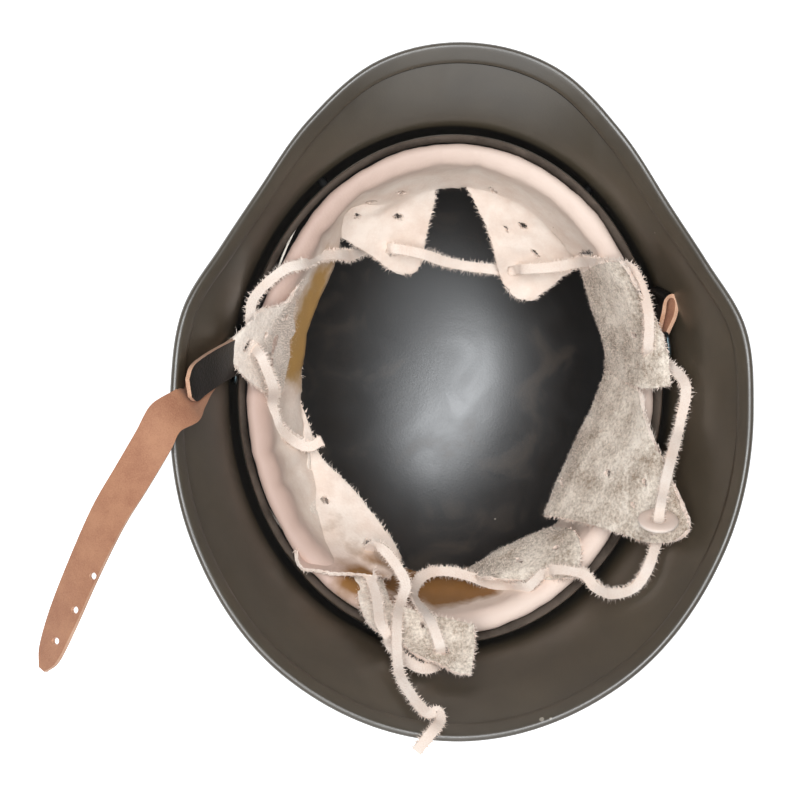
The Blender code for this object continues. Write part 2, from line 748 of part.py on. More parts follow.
def long_strap_path():
    """Places along the long strap, with the way its flat side faces and its share of the width."""
    x, y, _, high, _ = LEFT_BAIL
    wire = fitted(x, y, high)
    wrap = (BAIL_WIRE + STRAP_THICKNESS) / 2 + STRAP_WRAP_GAP
    rows = [(*skirt_place(*row), 1.0) for row in STRAP_TAB]
    for degrees in (20.0, -35.0, -90.0, -145.0, -200.0):
        a = math.radians(degrees)
        away = Vector((math.cos(a), -math.cos(a) * band_slope(x, y), math.sin(a)))
        rows.append((wire + wrap * away, away, 1.0))
    for row in STRAP_UNDER:
        place, inward = skirt_place(*row)
        rows.append((place, -inward, 1.0))
    for x, y, z, roll, width in STRAP_RUN:
        turn = math.radians(roll)
        rows.append((fitted(x, y, z), Vector((0.0, 0.0, -1.0)), width, turn))
    return rows


def make_long_strap(parts, cutters):
    rows = long_strap_path()
    path = [row[0] for row in rows]
    across = []
    for i, row in enumerate(rows):
        along = (path[min(i + 1, len(path) - 1)] - path[max(i - 1, 0)]).normalized()
        flat = along.cross(row[1]).normalized()
        turn = row[3] if len(row) > 3 else 0.0
        across.append((flat * math.cos(turn) + along.cross(flat) * math.sin(turn)).normalized())
    widths = [STRAP_WIDTH * row[2] for row in rows]
    strap = strip("chin_strap_long", path, across, widths, STRAP_THICKNESS, 2, "strap_leather", parts)
    end = path[-2]
    toward = (path[-4] - end).normalized()
    for k in range(STRAP_HOLES):
        place = end + toward * (STRAP_FIRST_HOLE + k * STRAP_HOLE_PITCH)
        punch(strap, place, across[-3].cross(toward), STRAP_HOLE_RADIUS, cutters)
    smooth(strap, 50.0)


def punch(obj, place, direction, radius, cutters):
    bpy.ops.mesh.primitive_cylinder_add(vertices=8, radius=radius, depth=PUNCH_REACH)
    cutter = bpy.context.object
    cutter.name = "cut_" + obj.name
    move_to(cutter, cutters)
    cutter.location = place
    cutter.rotation_euler = direction.to_track_quat("Z", "Y").to_euler()
    subtract(obj, cutter)


def make_short_strap(parts):
    path = [fitted(x, y, 0.0) for x, y in SHORT_STRAP]
    for place in path:
        place.z = BAND_TOP + SHORT_STRAP_OVER_BAND + SHORT_STRAP_WIDTH / 2
    upright = [Vector((0.0, 0.0, 1.0))] * len(path)
    widths = [SHORT_STRAP_WIDTH] * len(path)
    strap = strip("chin_strap_short", path, upright, widths, STRAP_THICKNESS, 1, "strap_leather", parts)
    smooth(strap, 50.0)


def main():
    clear_scene()
    parts = collection("steel_helmet")
    cutters = collection("cutters")
    make_shell(parts, cutters)
    make_bands(parts, cutters)
    make_pins(parts)
    make_springs(parts)
    leather = make_leather(parts)
    cut_lace_holes(leather, cutters)
    make_lace(parts)
    make_washer(parts)
    make_bail("strap_bail_left", LEFT_BAIL, parts)
    make_bail("strap_bail_right", RIGHT_BAIL, parts)
    make_long_strap(parts, cutters)
    make_short_strap(parts)


main()
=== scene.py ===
# Looks of a steel helmet that lies on its crown, with an open leather liner and a loose chin strap.
# Metres, +Z up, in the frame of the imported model. Tables are in millimetres.
import math
import random

import bmesh
import bpy
import numpy as np
from mathutils import Matrix, Vector, noise


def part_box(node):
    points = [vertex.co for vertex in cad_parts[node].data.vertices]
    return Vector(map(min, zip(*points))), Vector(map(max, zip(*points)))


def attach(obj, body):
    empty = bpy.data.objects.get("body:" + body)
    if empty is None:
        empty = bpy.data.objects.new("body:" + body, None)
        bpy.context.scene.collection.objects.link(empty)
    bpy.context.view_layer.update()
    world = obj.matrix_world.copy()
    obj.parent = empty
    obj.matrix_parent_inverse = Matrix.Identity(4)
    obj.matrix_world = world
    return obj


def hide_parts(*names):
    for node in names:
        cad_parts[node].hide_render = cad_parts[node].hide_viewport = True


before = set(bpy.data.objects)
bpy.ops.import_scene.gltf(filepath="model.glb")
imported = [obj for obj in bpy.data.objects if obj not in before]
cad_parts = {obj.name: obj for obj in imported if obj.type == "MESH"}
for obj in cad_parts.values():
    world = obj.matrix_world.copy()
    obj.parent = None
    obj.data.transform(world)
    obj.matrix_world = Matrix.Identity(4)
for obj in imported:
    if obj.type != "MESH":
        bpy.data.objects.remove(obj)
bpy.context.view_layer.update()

bl_info = {
    "name": "Steel helmet with open liner",
    "version": (1, 0, 0),
    "blender": (4, 5, 0),
    "location": "View3D > Sidebar > Helmet",
    "description": "Builds a steel helmet's shell, liner, lace, chin strap and studio",
    "category": "Object",
}

MM = 0.001
SEED = 11

# Where the helmet is seen from: the middle of the view, the way to the eye, and its roll
VIEW_MIDDLE = Vector((-26.1, -2.1, 165.0)) * MM
VIEW_AWAY = Vector((-math.tan(math.radians(5.1)), math.tan(math.radians(3.0)), 1.0)).normalized()
VIEW_ROLL = math.radians(1.98)
VIEW_DISTANCE = 1.7
LENS = 187.8
SENSOR = 36.0
IMAGE = 800

# Shell
STEEL = 1.2 * MM
DOME_HALF_WIDTH = 94.3 * MM
DOME_HALF_LENGTH = 111.8 * MM
DOME_DEPTH = 108.0 * MM
DOME_SQUARENESS = 2.25
FLARE_RISE = 0.2
FLARE_LEAN = 0.55
HEM_DEPTH = 7.0 * MM
SHELL_SIDES = 240
CREASE_WIDTH = 0.9 * MM
# Rows along the hem's crease that are painted dark as painted shade
CREASE_ROWS = 4

# Rim: angle from +X in degrees, reach and height in mm, slope of the edge in degrees
RIM = (
    (-90, 141.0, 165, 50),
    (-60, 135.6, 165, 54),
    (-30, 125.6, 165, 58),
    (0, 119.5, 164, 60),
    (16, 119.7, 160, 56),
    (30, 115.7, 150, 50),
    (44, 117.6, 139, 42),
    (60, 128.3, 131, 32),
    (75, 140.5, 130, 26),
    (90, 144.3, 130, 24),
)

# Liner bands and the split pins that hold them
BAND_HALF_WIDTH = 89.4 * MM
BAND_HALF_LENGTH = 106.9 * MM
BAND_TOP = 113.0 * MM
BAND_HEIGHT = 20.0 * MM
BAND_SPACING = 7.5 * MM
BAND_SIDES = 240
BAND_KINK = (2.5 * MM, 3.6 * MM)
PIN_ANGLES = (52.0, 128.0, 270.0)
PIN_HEIGHT = 99.0 * MM

# Sweatband section over the inner band: inward offset from the band's crest and height, in mm
SWEATBAND = (
    (-1.8, 102.5), (-2.8, 107.0), (-3.5, 110.6), (-3.3, 112.6), (-1.8, 113.6), (0.8, 113.2),
    (3.2, 111.6), (4.8, 109.0), (6.2, 104.5), (8.6, 98.5), (12.4, 91.5), (16.4, 85.5), (20.0, 80.0),
)
# Where the sweatband stands away from the band, and where it hangs upright: angle, width in degrees, amount
STAND_OFF = (148.0, 16.0, 1.6)
NOTCH = (126.0, 9.0, 0.7)
SWEATBAND_LEAN = 0.7
SWEATBAND_LEAN_CHANGE = 0.3
SWEATBAND_HELD = 3.0
SWEATBAND_UPRIGHT_ANGLE = 20.0
LINER_COLUMNS = 64
FINE = 6
HOLE_MARGIN = 1.2 * MM
HOLE_CUTS = 2
TUFT_SHARE = 0.45
NAP_LIMIT = 0.5
TURNED_OVER = "rear_right"
NAP_DENSITY = 1.3

# Soft creases down the sweatband: angle in degrees, depth in mm, width in degrees
CREASES = (
    (186, 0.8, 2.2), (197, 1.4, 2.0), (206, 1.1, 1.8), (217, 0.9, 2.4), (250, 0.7, 2.0),
    (268, 0.8, 2.5), (300, 0.6, 2.0), (344, 0.7, 2.2), (40, 0.7, 2.2), (84, 0.8, 2.4),
    (121, 0.7, 2.0), (138, 0.9, 2.2), (165, 0.6, 1.8),
)

# Fingers of the liner: first column, columns across, and folds from the root to the tip.
# A fold runs across the finger and has places as they are seen in the view, with a height in mm.
FINGERS = {
    "right_front": (1, 6, (
        ((607, 373, 78), (606, 345, 78), (594, 306, 78), (583, 270, 78)),
        ((609, 373, 86), (609, 350, 86), (598, 314, 87), (585, 272, 87)),
        ((622, 379, 103), (621, 345, 103), (611, 303, 104), (594, 266, 104)),
        ((638, 386, 118), (637, 345, 120), (630, 303, 121), (606, 262, 121)),
        ((650, 388, 125), (650, 350, 128), (646, 303, 129), (622, 262, 129)),
        ((660, 387, 129), (660, 352, 132), (650, 320, 132), (632, 278, 132)),
        ((670, 385, 130), (667, 352, 132), (658, 324, 132), (641, 296, 133)),
    )),
    "front_left": (9, 6, (
        ((578, 258, 77), (550, 240, 75), (515, 222, 75), (478, 208, 76)),
        ((577, 267, 74), (550, 255, 71), (520, 243, 70), (488, 231, 72)),
        ((563, 276, 70), (540, 268, 66), (518, 262, 65), (495, 255, 68)),
        ((549, 288, 64), (533, 283, 61), (517, 279, 61), (499, 272, 63)),
        ((533, 300, 60), (526, 300, 60), (515, 297, 60), (506, 288, 61)),
    )),
    "front_right": (17, 6, (
        ((434, 200, 76), (400, 207, 74), (362, 218, 76), (323, 225, 84)),
        ((430, 217, 72), (404, 226, 69), (376, 235, 70), (346, 240, 76)),
        ((426, 234, 68), (412, 242, 65), (395, 250, 65), (371, 255, 68)),
        ((423, 250, 64), (414, 257, 62), (402, 263, 62), (387, 268, 64)),
        ((420, 263, 61), (417, 269, 60), (411, 273, 60), (400, 273, 61)),
    )),
    "left_front": (25, 6, (
        ((318, 269, 78), (305, 308, 78), (298, 345, 78), (291, 385, 78)),
        ((315, 267, 86), (303, 300, 86), (294, 340, 86), (284, 387, 86)),
        ((302, 277, 101), (291, 305, 101), (281, 345, 101), (276, 394, 101)),
        ((284, 304, 117), (272, 326, 118), (262, 355, 118), (262, 391, 117)),
        ((262, 309, 126), (253, 328, 127), (246, 353, 127), (246, 378, 126)),
        ((246, 326, 130), (240, 337, 131), (235, 351, 131), (235, 366, 130)),
        ((236, 337, 131), (230, 345, 132), (228, 352, 132), (229, 359, 131)),
    )),
    "left_rear": (33, 6, (
        ((318, 452, 80), (310, 480, 84), (303, 510, 94), (298, 540, 110)),
        ((336, 473, 82), (324, 505, 88), (312, 540, 101), (299, 566, 116)),
        ((356, 493, 85), (346, 525, 92), (333, 555, 105), (316, 571, 117)),
        ((373, 515, 89), (366, 540, 95), (356, 562, 106), (342, 574, 116)),
        ((390, 538, 92), (387, 556, 96), (380, 568, 103), (366, 575, 111)),
        ((400, 556, 94), (400, 562, 96), (397, 568, 98), (390, 577, 103)),
    )),
    "rear_right": (41, 3, (
        ((382, 570, 89), (368, 560, 89), (354, 551, 89)),
        ((382, 582, 104), (368, 577, 105), (353, 570, 105)),
        ((392, 606, 117), (378, 612, 119), (366, 620, 121)),
        ((405, 608, 121), (400, 626, 124), (398, 642, 130)),
        ((423, 613, 124), (421, 634, 128), (419, 657, 136)),
        ((442, 617, 127), (441, 641, 131), (440, 665, 139)),
        ((460, 622, 129), (460, 648, 134), (456, 673, 142)),
        ((474, 625, 131), (475, 642, 135), (471, 675, 143)),
    )),
    "rear_left": (49, 6, (
        ((462, 571, 78), (490, 560, 78), (520, 546, 78), (545, 532, 78)),
        ((470, 576, 84), (493, 557, 84), (522, 542, 85), (553, 530, 87)),
        ((479, 578, 94), (502, 565, 95), (536, 550, 98), (573, 531, 103)),
        ((485, 578, 100), (508, 573, 103), (542, 565, 109), (581, 548, 114)),
        ((489, 578, 103), (508, 580, 105), (542, 580, 112), (578, 578, 120)),
    )),
    "right_rear": (57, 6, (
        ((552, 512, 78), (563, 478, 78), (582, 440, 78), (602, 398, 78)),
        ((546, 515, 86), (560, 483, 86), (577, 446, 86), (596, 406, 86), (607, 373, 86)),
        ((563, 518, 100), (583, 470, 101), (604, 425, 101), (622, 379, 101)),
        ((593, 525, 118), (611, 480, 119), (629, 430, 119), (640, 391, 119)),
        ((622, 534, 131), (634, 492, 132), (643, 450, 131), (644, 412, 127)),
        ((648, 542, 141), (655, 508, 142), (657, 472, 139), (654, 441, 135)),
        ((669, 542, 149), (676, 521, 150), (676, 499, 147), (668, 473, 142)),
        ((684, 536, 155), (689, 530, 155), (689, 521, 154), (684, 509, 152)),
    )),
}

# Holes and slits: finger or none, place in the view, half length and half width in mm, and turn in degrees
HOLES = (
    ("front_right", 357, 215, 1.7, 1.0, -8), ("front_right", 398, 216, 2.4, 1.3, 6),
    ("front_left", 493, 189, 2.4, 0.6, 32), ("front_left", 506, 228, 2.1, 0.5, 48),
    ("front_left", 523, 225, 2.2, 1.1, 35), ("front_left", 558, 227, 2.1, 0.8, 30),
    ("front_left", 535, 252, 2.3, 0.9, 42), ("right_front", 636, 335, 1.7, 1.1, 55),
    ("right_rear", 609, 473, 1.4, 1.7, 0), ("right_rear", 646, 483, 2.0, 0.7, 70),
    ("right_rear", 634, 505, 1.6, 0.6, 60), ("right_rear", 564, 484, 2.0, 0.6, 80),
    ("rear_left", 520, 562, 1.4, 1.0, 20), ("rear_left", 557, 549, 1.5, 1.0, -20),
    ("left_rear", 325, 501, 2.0, 1.5, 30), ("left_rear", 306, 537, 2.4, 1.6, 70),
    ("left_rear", 369, 545, 2.6, 2.2, 20), ("left_front", 284, 317, 1.6, 0.7, -60),
    ("left_front", 264, 335, 1.6, 0.6, -60), ("left_front", 270, 355, 1.3, 1.0, 80),
    ("left_front", 247, 345, 3.4, 1.1, -60), ("rear_right", 443, 651, 2.4, 2.0, 0),
    ("rear_right", 423, 626, 1.2, 1.5, 0), ("front_right", 391, 250, 2.6, 2.2, 0),
    ("front_left", 513, 270, 2.6, 2.2, 0), ("right_rear", 658, 524, 2.4, 2.4, 0),
    ("", 371, 200, 2.6, 0.7, -6), ("", 401, 191, 2.4, 0.7, -6), ("", 588, 253, 3.4, 1.5, 0),
)

# Lace route in mm, from its short free end round the finger tips to its long free end
LACE_ROUTE = (
    (-52, -24, 92), (-58, -27, 90), (-65, -24, 93), (-72, -17, 103.5), (-75, -8, 110.5),
    (-75.5, -0.5, 123.5), (-81, 11.5, 130), (-84, 16, 124.5), (-84.5, 20, 119.5), (-85, 35, 118),
    (-73, 48, 119), (-64, 51, 114.5), (-57, 54, 99), (-47, 55, 87.5), (-41, 54.5, 73),
    (-35, 56.5, 63), (-28, 57, 62), (-25, 58, 66.5), (-22, 58, 71.5), (-10, 56, 70),
    (0, 53, 65), (12, 51, 61), (28.5, 50, 61.5), (32, 51, 66), (35, 51, 71.5),
    (49, 53, 79), (56, 55, 87.5), (59.5, 55.5, 105.5), (64.5, 55, 120.5), (73, 53, 127),
    (79, 37, 134), (80, 22, 132), (81, 18, 126), (84, 15, 121), (88, 15, 122),
    (96, 6, 134), (94, -10, 135), (91, -19, 141.5), (88, -28, 148), (85.5, -37, 152.5),
    (83.6, -44.5, 157.3), (83.9, -53.4, 151.5), (84.8, -54.7, 145.5), (85.3, -58, 140), (85, -62, 138.5),
    (81, -72, 142), (76, -79, 141), (68, -82, 135.5), (62, -80, 129), (57, -75, 126),
    (46, -74, 118.5), (44, -77, 112.5), (41, -76, 115.5), (35, -82.5, 112.5), (29, -83.5, 101),
    (22, -83, 94), (11, -80, 88.5), (3, -79, 86), (-5, -80, 87.5), (-10, -84, 92),
    (-12, -88, 102), (-10.5, -91, 119), (-7.5, -95.5, 135), (-4, -104, 139), (-3, -108, 136),
    (-3, -112, 131.5), (-7, -115, 136), (-14, -114, 136), (-22.5, -107.5, 128.5), (-25, -102, 132.5),
    (-28, -97, 130.5), (-29, -88, 120), (-31, -80.5, 110.5), (-31.3, -75.5, 102.5), (-31, -71.5, 97),
    (-31, -68, 102.5), (-29.5, -66.5, 108), (-24, -70, 110.5), (-16.5, -81.5, 113), (-18.5, -89, 117.5),
    (-21, -96.5, 130), (-21, -112, 139.5), (-19, -120, 149), (-11, -130, 162), (-6, -129.5, 163.5),
    (-5, -133, 166.5), (-9, -137, 171.5), (-15, -145, 172),
)

# Washer on the lace
WASHER_PLACE = (83.35, -49.4, 155.0)
WASHER_LEAN = (-0.03, 0.88, 0.47)
WASHER_RADIUS = 8.5 * MM
WASHER_THICKNESS = 2.0 * MM
WASHER_HOLE = 3.0 * MM

# Chin strap: angle in degrees, share of the way up the skirt and offset in mm
STRAP_TAB = (
    (179.9, 1.0, 7.0, 0.5), (179.0, 0.93, 6.9, 0.95), (177.3, 0.78, 6.4, 1.0), (175.0, 0.55, 6.0, 1.0),
    (172.6, 0.28, 6.0, 1.0),
)
STRAP_UNDER = (
    (172.9, 0.28, 2.3, 0.75), (175.4, 0.46, 2.6, 0.75), (178.6, 0.66, 2.6, 0.8), (181.8, 0.84, 3.4, 0.9),
    (183.6, 0.97, 5.0, 1.0),
)
# Free run past the rim: x, y, z in mm, roll in degrees and share of the width
STRAP_RUN = (
    (-121.5, -12, 171.5, 0, 1.0), (-126.0, -21, 172.5, 8, 1.0), (-134.0, -36, 170.0, 16, 1.0),
    (-143.0, -53, 163.0, 26, 1.0), (-152.0, -75, 154.0, 36, 1.0), (-160.0, -97, 146.0, 44, 1.0),
    (-165.0, -112, 141.0, 48, 0.8), (-167.5, -119, 139.0, 48, 0.25),
)
STRAP_HOLES = ((94, 576), (76, 610), (57, 641))
LEFT_BAIL = (-90.15, 12.0, 103.0, 119.0, 23.0)
RIGHT_BAIL = (88.6, 22.6, 103.0, 131.0, 8.8)
BAIL_WIRE = 1.8 * MM
BAIL_CORNER = 2.5

# Top edge of the short strap as it is seen in the view, from its tail round the right bail's wire,
# with how far its width leans left and up
SHORT_STRAP = (
    (660, 328, 0.0, 0.0), (662, 320, 0.05, 0.0), (664, 311, 0.15, 0.1), (665, 304, 0.4, 0.2),
    (667, 299, 0.55, 0.3), (671, 296, 0.55, 0.3), (675, 297, 0.55, 0.3), (677, 302, 0.5, 0.3),
    (677, 308, 0.45, 0.2), (675, 317, 0.4, 0.1), (671, 326, 0.4, 0.1), (667, 334, 0.3, 0.0),
    (663, 337, 0.15, 0.0),
)
SHORT_STRAP_TOP = 127.0
SHORT_STRAP_WIDTH = 11.5 * MM


def linear(colour):
    """A screen colour such as #5F5246 as linear red, green and blue."""
    parts = [int(colour[i:i + 2], 16) / 255 for i in (1, 3, 5)]
    return tuple(p / 12.92 if p <= 0.04045 else ((p + 0.055) / 1.055) ** 2.4 for p in parts)


def view_axes():
    """Right and up in the view."""
    right = Vector((0.0, 1.0, 0.0)).cross(VIEW_AWAY).normalized()
    up = VIEW_AWAY.cross(right)
    turn, lift = math.cos(VIEW_ROLL), math.sin(VIEW_ROLL)
    return right * turn + up * lift, up * turn - right * lift


def seen(x, y, height):
    """The place at a height in mm that is seen at a place in the image."""
    right, up = view_axes()
    focal = LENS / SENSOR * IMAGE
    eye = VIEW_MIDDLE + VIEW_AWAY * VIEW_DISTANCE
    ray = right * ((x - IMAGE / 2) / focal) - up * ((y - IMAGE / 2) / focal) - VIEW_AWAY
    return eye + ray * ((height * MM - eye.z) / ray.z)


def in_view(place):
    """Where in the image a place is seen."""
    right, up = view_axes()
    focal = LENS / SENSOR * IMAGE
    away = Vector(place) - VIEW_MIDDLE
    depth = VIEW_DISTANCE - away.dot(VIEW_AWAY)
    return IMAGE / 2 + focal * away.dot(right) / depth, IMAGE / 2 - focal * away.dot(up) / depth


def through(points, steps):
    """Catmull-Rom curve through points, with an even number of steps for each span."""
    p = np.array(points, float)
    ends = np.concatenate([[2 * p[0] - p[1]], p, [2 * p[-1] - p[-2]]])
    t = (np.arange(steps) / steps).reshape((steps,) + (1,) * (p.ndim - 1))
    curve = []
    for i in range(len(p) - 1):
        a, b, c, d = ends[i:i + 4]
        curve.append(0.5 * (2 * b + (c - a) * t + (2 * a - 5 * b + 4 * c - d) * t**2
                            + (3 * b - a - 3 * c + d) * t**3))
    return np.concatenate(curve + [[p[-1]]])


def spread(points, count):
    """Places at even distances along a smooth curve through points."""
    curve = through(points, 12)
    run = np.r_[0.0, np.cumsum(np.linalg.norm(np.diff(curve, axis=0), axis=1))]
    places = np.linspace(0.0, run[-1], count)
    return np.stack([np.interp(places, run, curve[:, k]) for k in range(curve.shape[1])], axis=1)


def eased(stations, at):
    """Smooth curve through rows of numbers, read at a place in the first column."""
    places = np.array([row[0] for row in stations], float)
    values = np.array([row[1:] for row in stations], float)
    slopes = np.gradient(values, places, axis=0)
    slopes[0] = 0.0
    slopes[-1] = 0.0
    i = int(np.clip(np.searchsorted(places, at) - 1, 0, len(places) - 2))
    step = places[i + 1] - places[i]
    s = (at - places[i]) / step
    start = (2 * s**3 - 3 * s**2 + 1) * values[i] + (s**3 - 2 * s**2 + s) * step * slopes[i]
    end = (3 * s**2 - 2 * s**3) * values[i + 1] + (s**3 - s**2) * step * slopes[i + 1]
    return start + end


def ellipse(half_width, half_length, degrees):
    turn = math.radians(degrees)
    return half_width * math.cos(turn), half_length * math.sin(turn)


def grid_faces(rows, columns, wrap, first=0):
    faces = []
    for r in range(rows - 1):
        for c in range(columns if wrap else columns - 1):
            n = (c + 1) % columns
            a, b = first + r * columns, first + (r + 1) * columns
            faces.append((a + c, a + n, b + n, b + c))
    return faces


def ring(sections):
    """Points and faces of a closed section swept round into a ring."""
    count, sides = len(sections[0]), len(sections)
    points = [tuple(sections[j][i]) for i in range(count) for j in range(sides)]
    faces = grid_faces(count, sides, True)
    last = (count - 1) * sides
    faces += [(last + j, last + (j + 1) % sides, (j + 1) % sides, j) for j in range(sides)]
    return points, faces


def piece(name, points, faces, finishes, degrees=50.0):
    """A smooth mesh that rides on the helmet."""
    mesh = bpy.data.meshes.new(name)
    mesh.from_pydata([tuple(p) for p in points], [], faces)
    for finish in finishes:
        mesh.materials.append(finish)
    mesh.shade_smooth()
    mesh.set_sharp_from_angle(angle=math.radians(degrees))
    obj = bpy.data.objects.new(name, mesh)
    bpy.context.scene.collection.objects.link(obj)
    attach(obj, "root")
    return obj


def thicken(obj, thickness, rounding):
    """Gives a sheet its thickness: its front, back and cut edge take the next three finishes."""
    solid = obj.modifiers.new("thickness", "SOLIDIFY")
    solid.thickness = thickness
    solid.offset = 0.0
    solid.material_offset = 1
    solid.material_offset_rim = 2
    soft = obj.modifiers.new("rounding", "BEVEL")
    soft.width = rounding
    soft.segments = 2
    soft.limit_method = "ANGLE"
    soft.angle_limit = math.radians(65)
    soft.material = -1


def node(tree, kind, links=None, **settings):
    """A shader node with its settings. Each input in links gets a value or another node's output."""
    made = tree.nodes.new(kind)
    for name, value in settings.items():
        setattr(made, name, value)
    for name, value in (links or {}).items():
        if isinstance(value, bpy.types.NodeSocket):
            tree.links.new(value, made.inputs[name])
        else:
            made.inputs[name].default_value = value
    return made


def finish(name, **values):
    """A material with its shader's plain values, and the surface's own coordinates in mm."""
    made = bpy.data.materials.new(name)
    made.use_nodes = True
    tree = made.node_tree
    shader = tree.nodes["Principled BSDF"]
    for socket, value in values.items():
        shader.inputs[socket.replace("_", " ")].default_value = value
    place = node(tree, "ShaderNodeTexCoord").outputs["Object"]
    scaled = node(tree, "ShaderNodeVectorMath", {0: place, 1: (1000, 1000, 1000)}, operation="MULTIPLY")
    return made, tree, shader, scaled.outputs[0]


def blend(tree, factor, low, high, a, b):
    """Colour a where the factor is low and b where it is high."""
    share = node(tree, "ShaderNodeMapRange", {"Value": factor, "From Min": low, "From Max": high})
    mixed = node(tree, "ShaderNodeMix", {0: share.outputs[0], 6: a, 7: b}, data_type="RGBA")
    return mixed.outputs[2]


def colour(value):
    return (*value, 1.0)


def paint_finish(colours):
    """Satin field-grey enamel sprayed on pressed steel: dusty on the skirt, painted darker in the dome as painted
    shade, with rubbed scuffs there, a fine orange peel and a few specks."""
    made, tree, shader, place = finish("field_grey_enamel_on_pressed_steel", IOR=2.05)
    cloud = node(tree, "ShaderNodeTexNoise", {"Vector": place, "Scale": 0.03, "Detail": 5.0, "Roughness": 0.6})
    tone = blend(tree, cloud.outputs[0], 0.3, 0.7, colour(colours.paint_dark), colour(colours.paint))
    axes = node(tree, "ShaderNodeSeparateXYZ", {0: place})
    scuff = node(tree, "ShaderNodeTexNoise", {"Vector": place, "Scale": 0.035, "Detail": 8.0, "Distortion": 1.4})
    dome_shade_and_scuffs = blend(tree, scuff.outputs[0], 0.56, 0.7, colour(colours.deep_painted_shade), colour(colours.scuff))
    # Painted shade: the enamel darkens down into the dome, towards the crown.
    tone = blend(tree, axes.outputs["Z"], 50.0, 112.0, dome_shade_and_scuffs, tone)
    speck = node(tree, "ShaderNodeTexVoronoi", {"Vector": place, "Scale": 0.12})
    rare = node(tree, "ShaderNodeTexNoise", {"Vector": place, "Scale": 0.05, "Detail": 2.0})
    spread_out = node(tree, "ShaderNodeMath", {0: speck.outputs["Distance"], 1: rare.outputs[0]}, operation="ADD")
    dust = blend(tree, spread_out.outputs[0], 0.36, 0.39, colour(colours.dust), tone)
    tree.links.new(dust, shader.inputs["Base Color"])
    gloss = node(tree, "ShaderNodeMapRange", {"Value": scuff.outputs[0], "From Min": 0.4, "From Max": 0.65,
                                              "To Min": 0.38, "To Max": 0.46})
    tree.links.new(gloss.outputs[0], shader.inputs["Roughness"])
    peel = node(tree, "ShaderNodeTexNoise", {"Vector": place, "Scale": 1.1, "Detail": 3.0})
    bump = node(tree, "ShaderNodeBump", {"Height": peel.outputs[0], "Strength": 0.5, "Distance": 0.00007})
    tree.links.new(bump.outputs[0], shader.inputs["Normal"])
    return made


def painted_crease_shade_finish(tone):
    """Painted shade: a dark strip along the crease of the rolled hem, and on the pins' shanks and legs behind their
    heads.
    """
    made, tree, shader, place = finish("packed_grime", Roughness=0.8)
    cloud = node(tree, "ShaderNodeTexNoise", {"Vector": place, "Scale": 0.5, "Detail": 3.0})
    hem_shade = blend(tree, cloud.outputs[0], 0.3, 0.7, colour(tone), colour(tuple(0.5 * c for c in tone)))
    tree.links.new(hem_shade, shader.inputs["Base Color"])
    return made


def steel_finish(name, bright, stain, roughness, metallic=1.0):
    """Cold-rolled spring steel strip, drawn bright and stained by age."""
    made, tree, shader, place = finish(name, Metallic=metallic)
    rolled = node(tree, "ShaderNodeMapping", {"Vector": place, "Scale": (0.05, 0.05, 2.5)})
    lines = node(tree, "ShaderNodeTexNoise", {"Vector": rolled.outputs[0], "Scale": 1.0, "Detail": 3.0})
    patch = node(tree, "ShaderNodeTexNoise", {"Vector": place, "Scale": 0.06, "Detail": 6.0, "Roughness": 0.65})
    tone = blend(tree, patch.outputs[0], 0.45, 0.72, colour(bright), colour(stain))
    tree.links.new(tone, shader.inputs["Base Color"])
    gloss = node(tree, "ShaderNodeMapRange", {"Value": patch.outputs[0], "From Min": 0.4, "From Max": 0.7,
                                              "To Min": roughness, "To Max": roughness + 0.25})
    tree.links.new(gloss.outputs[0], shader.inputs["Roughness"])
    bump = node(tree, "ShaderNodeBump", {"Height": lines.outputs[0], "Strength": 0.25, "Distance": 0.00003})
    tree.links.new(bump.outputs[0], shader.inputs["Normal"])
    return made


def hide_finish(name, light, dark, stain, pore, contrast, depth, roughness, sheen):
    """Leather: cloudy tone with stains, and a grain or nap of the given size in mm."""
    made, tree, shader, place = finish(name, IOR=1.45, Roughness=roughness, Sheen_Weight=sheen,
                                       Sheen_Roughness=0.6)
    cloud = node(tree, "ShaderNodeTexNoise", {"Vector": place, "Scale": 0.07, "Detail": 6.0, "Roughness": 0.62})
    fine = node(tree, "ShaderNodeTexNoise", {"Vector": place, "Scale": 1.0 / pore, "Detail": 5.0, "Roughness": 0.7})
    uneven = node(tree, "ShaderNodeMath", {0: fine.outputs[0], 1: contrast, 2: cloud.outputs[0]}, operation="MULTIPLY_ADD")
    middle = 0.5 + 0.5 * contrast
    tone = blend(tree, uneven.outputs[0], middle - 0.16 - 0.05 * contrast, middle + 0.12 + 0.05 * contrast, colour(dark), colour(light))
    worn = node(tree, "ShaderNodeTexNoise", {"Vector": place, "Scale": 0.035, "Detail": 7.0, "Roughness": 0.7})
    tone = blend(tree, worn.outputs[0], 0.66, 0.8, tone, colour(stain))
    tree.links.new(tone, shader.inputs["Base Color"])
    cells = node(tree, "ShaderNodeTexVoronoi", {"Vector": place, "Scale": 0.8 / pore}, feature="F1")
    both = node(tree, "ShaderNodeMath", {0: fine.outputs[0], 1: cells.outputs["Distance"]}, operation="ADD")
    bump = node(tree, "ShaderNodeBump", {"Height": both.outputs[0], "Strength": 0.6, "Distance": depth})
    tree.links.new(bump.outputs[0], shader.inputs["Normal"])
    return made


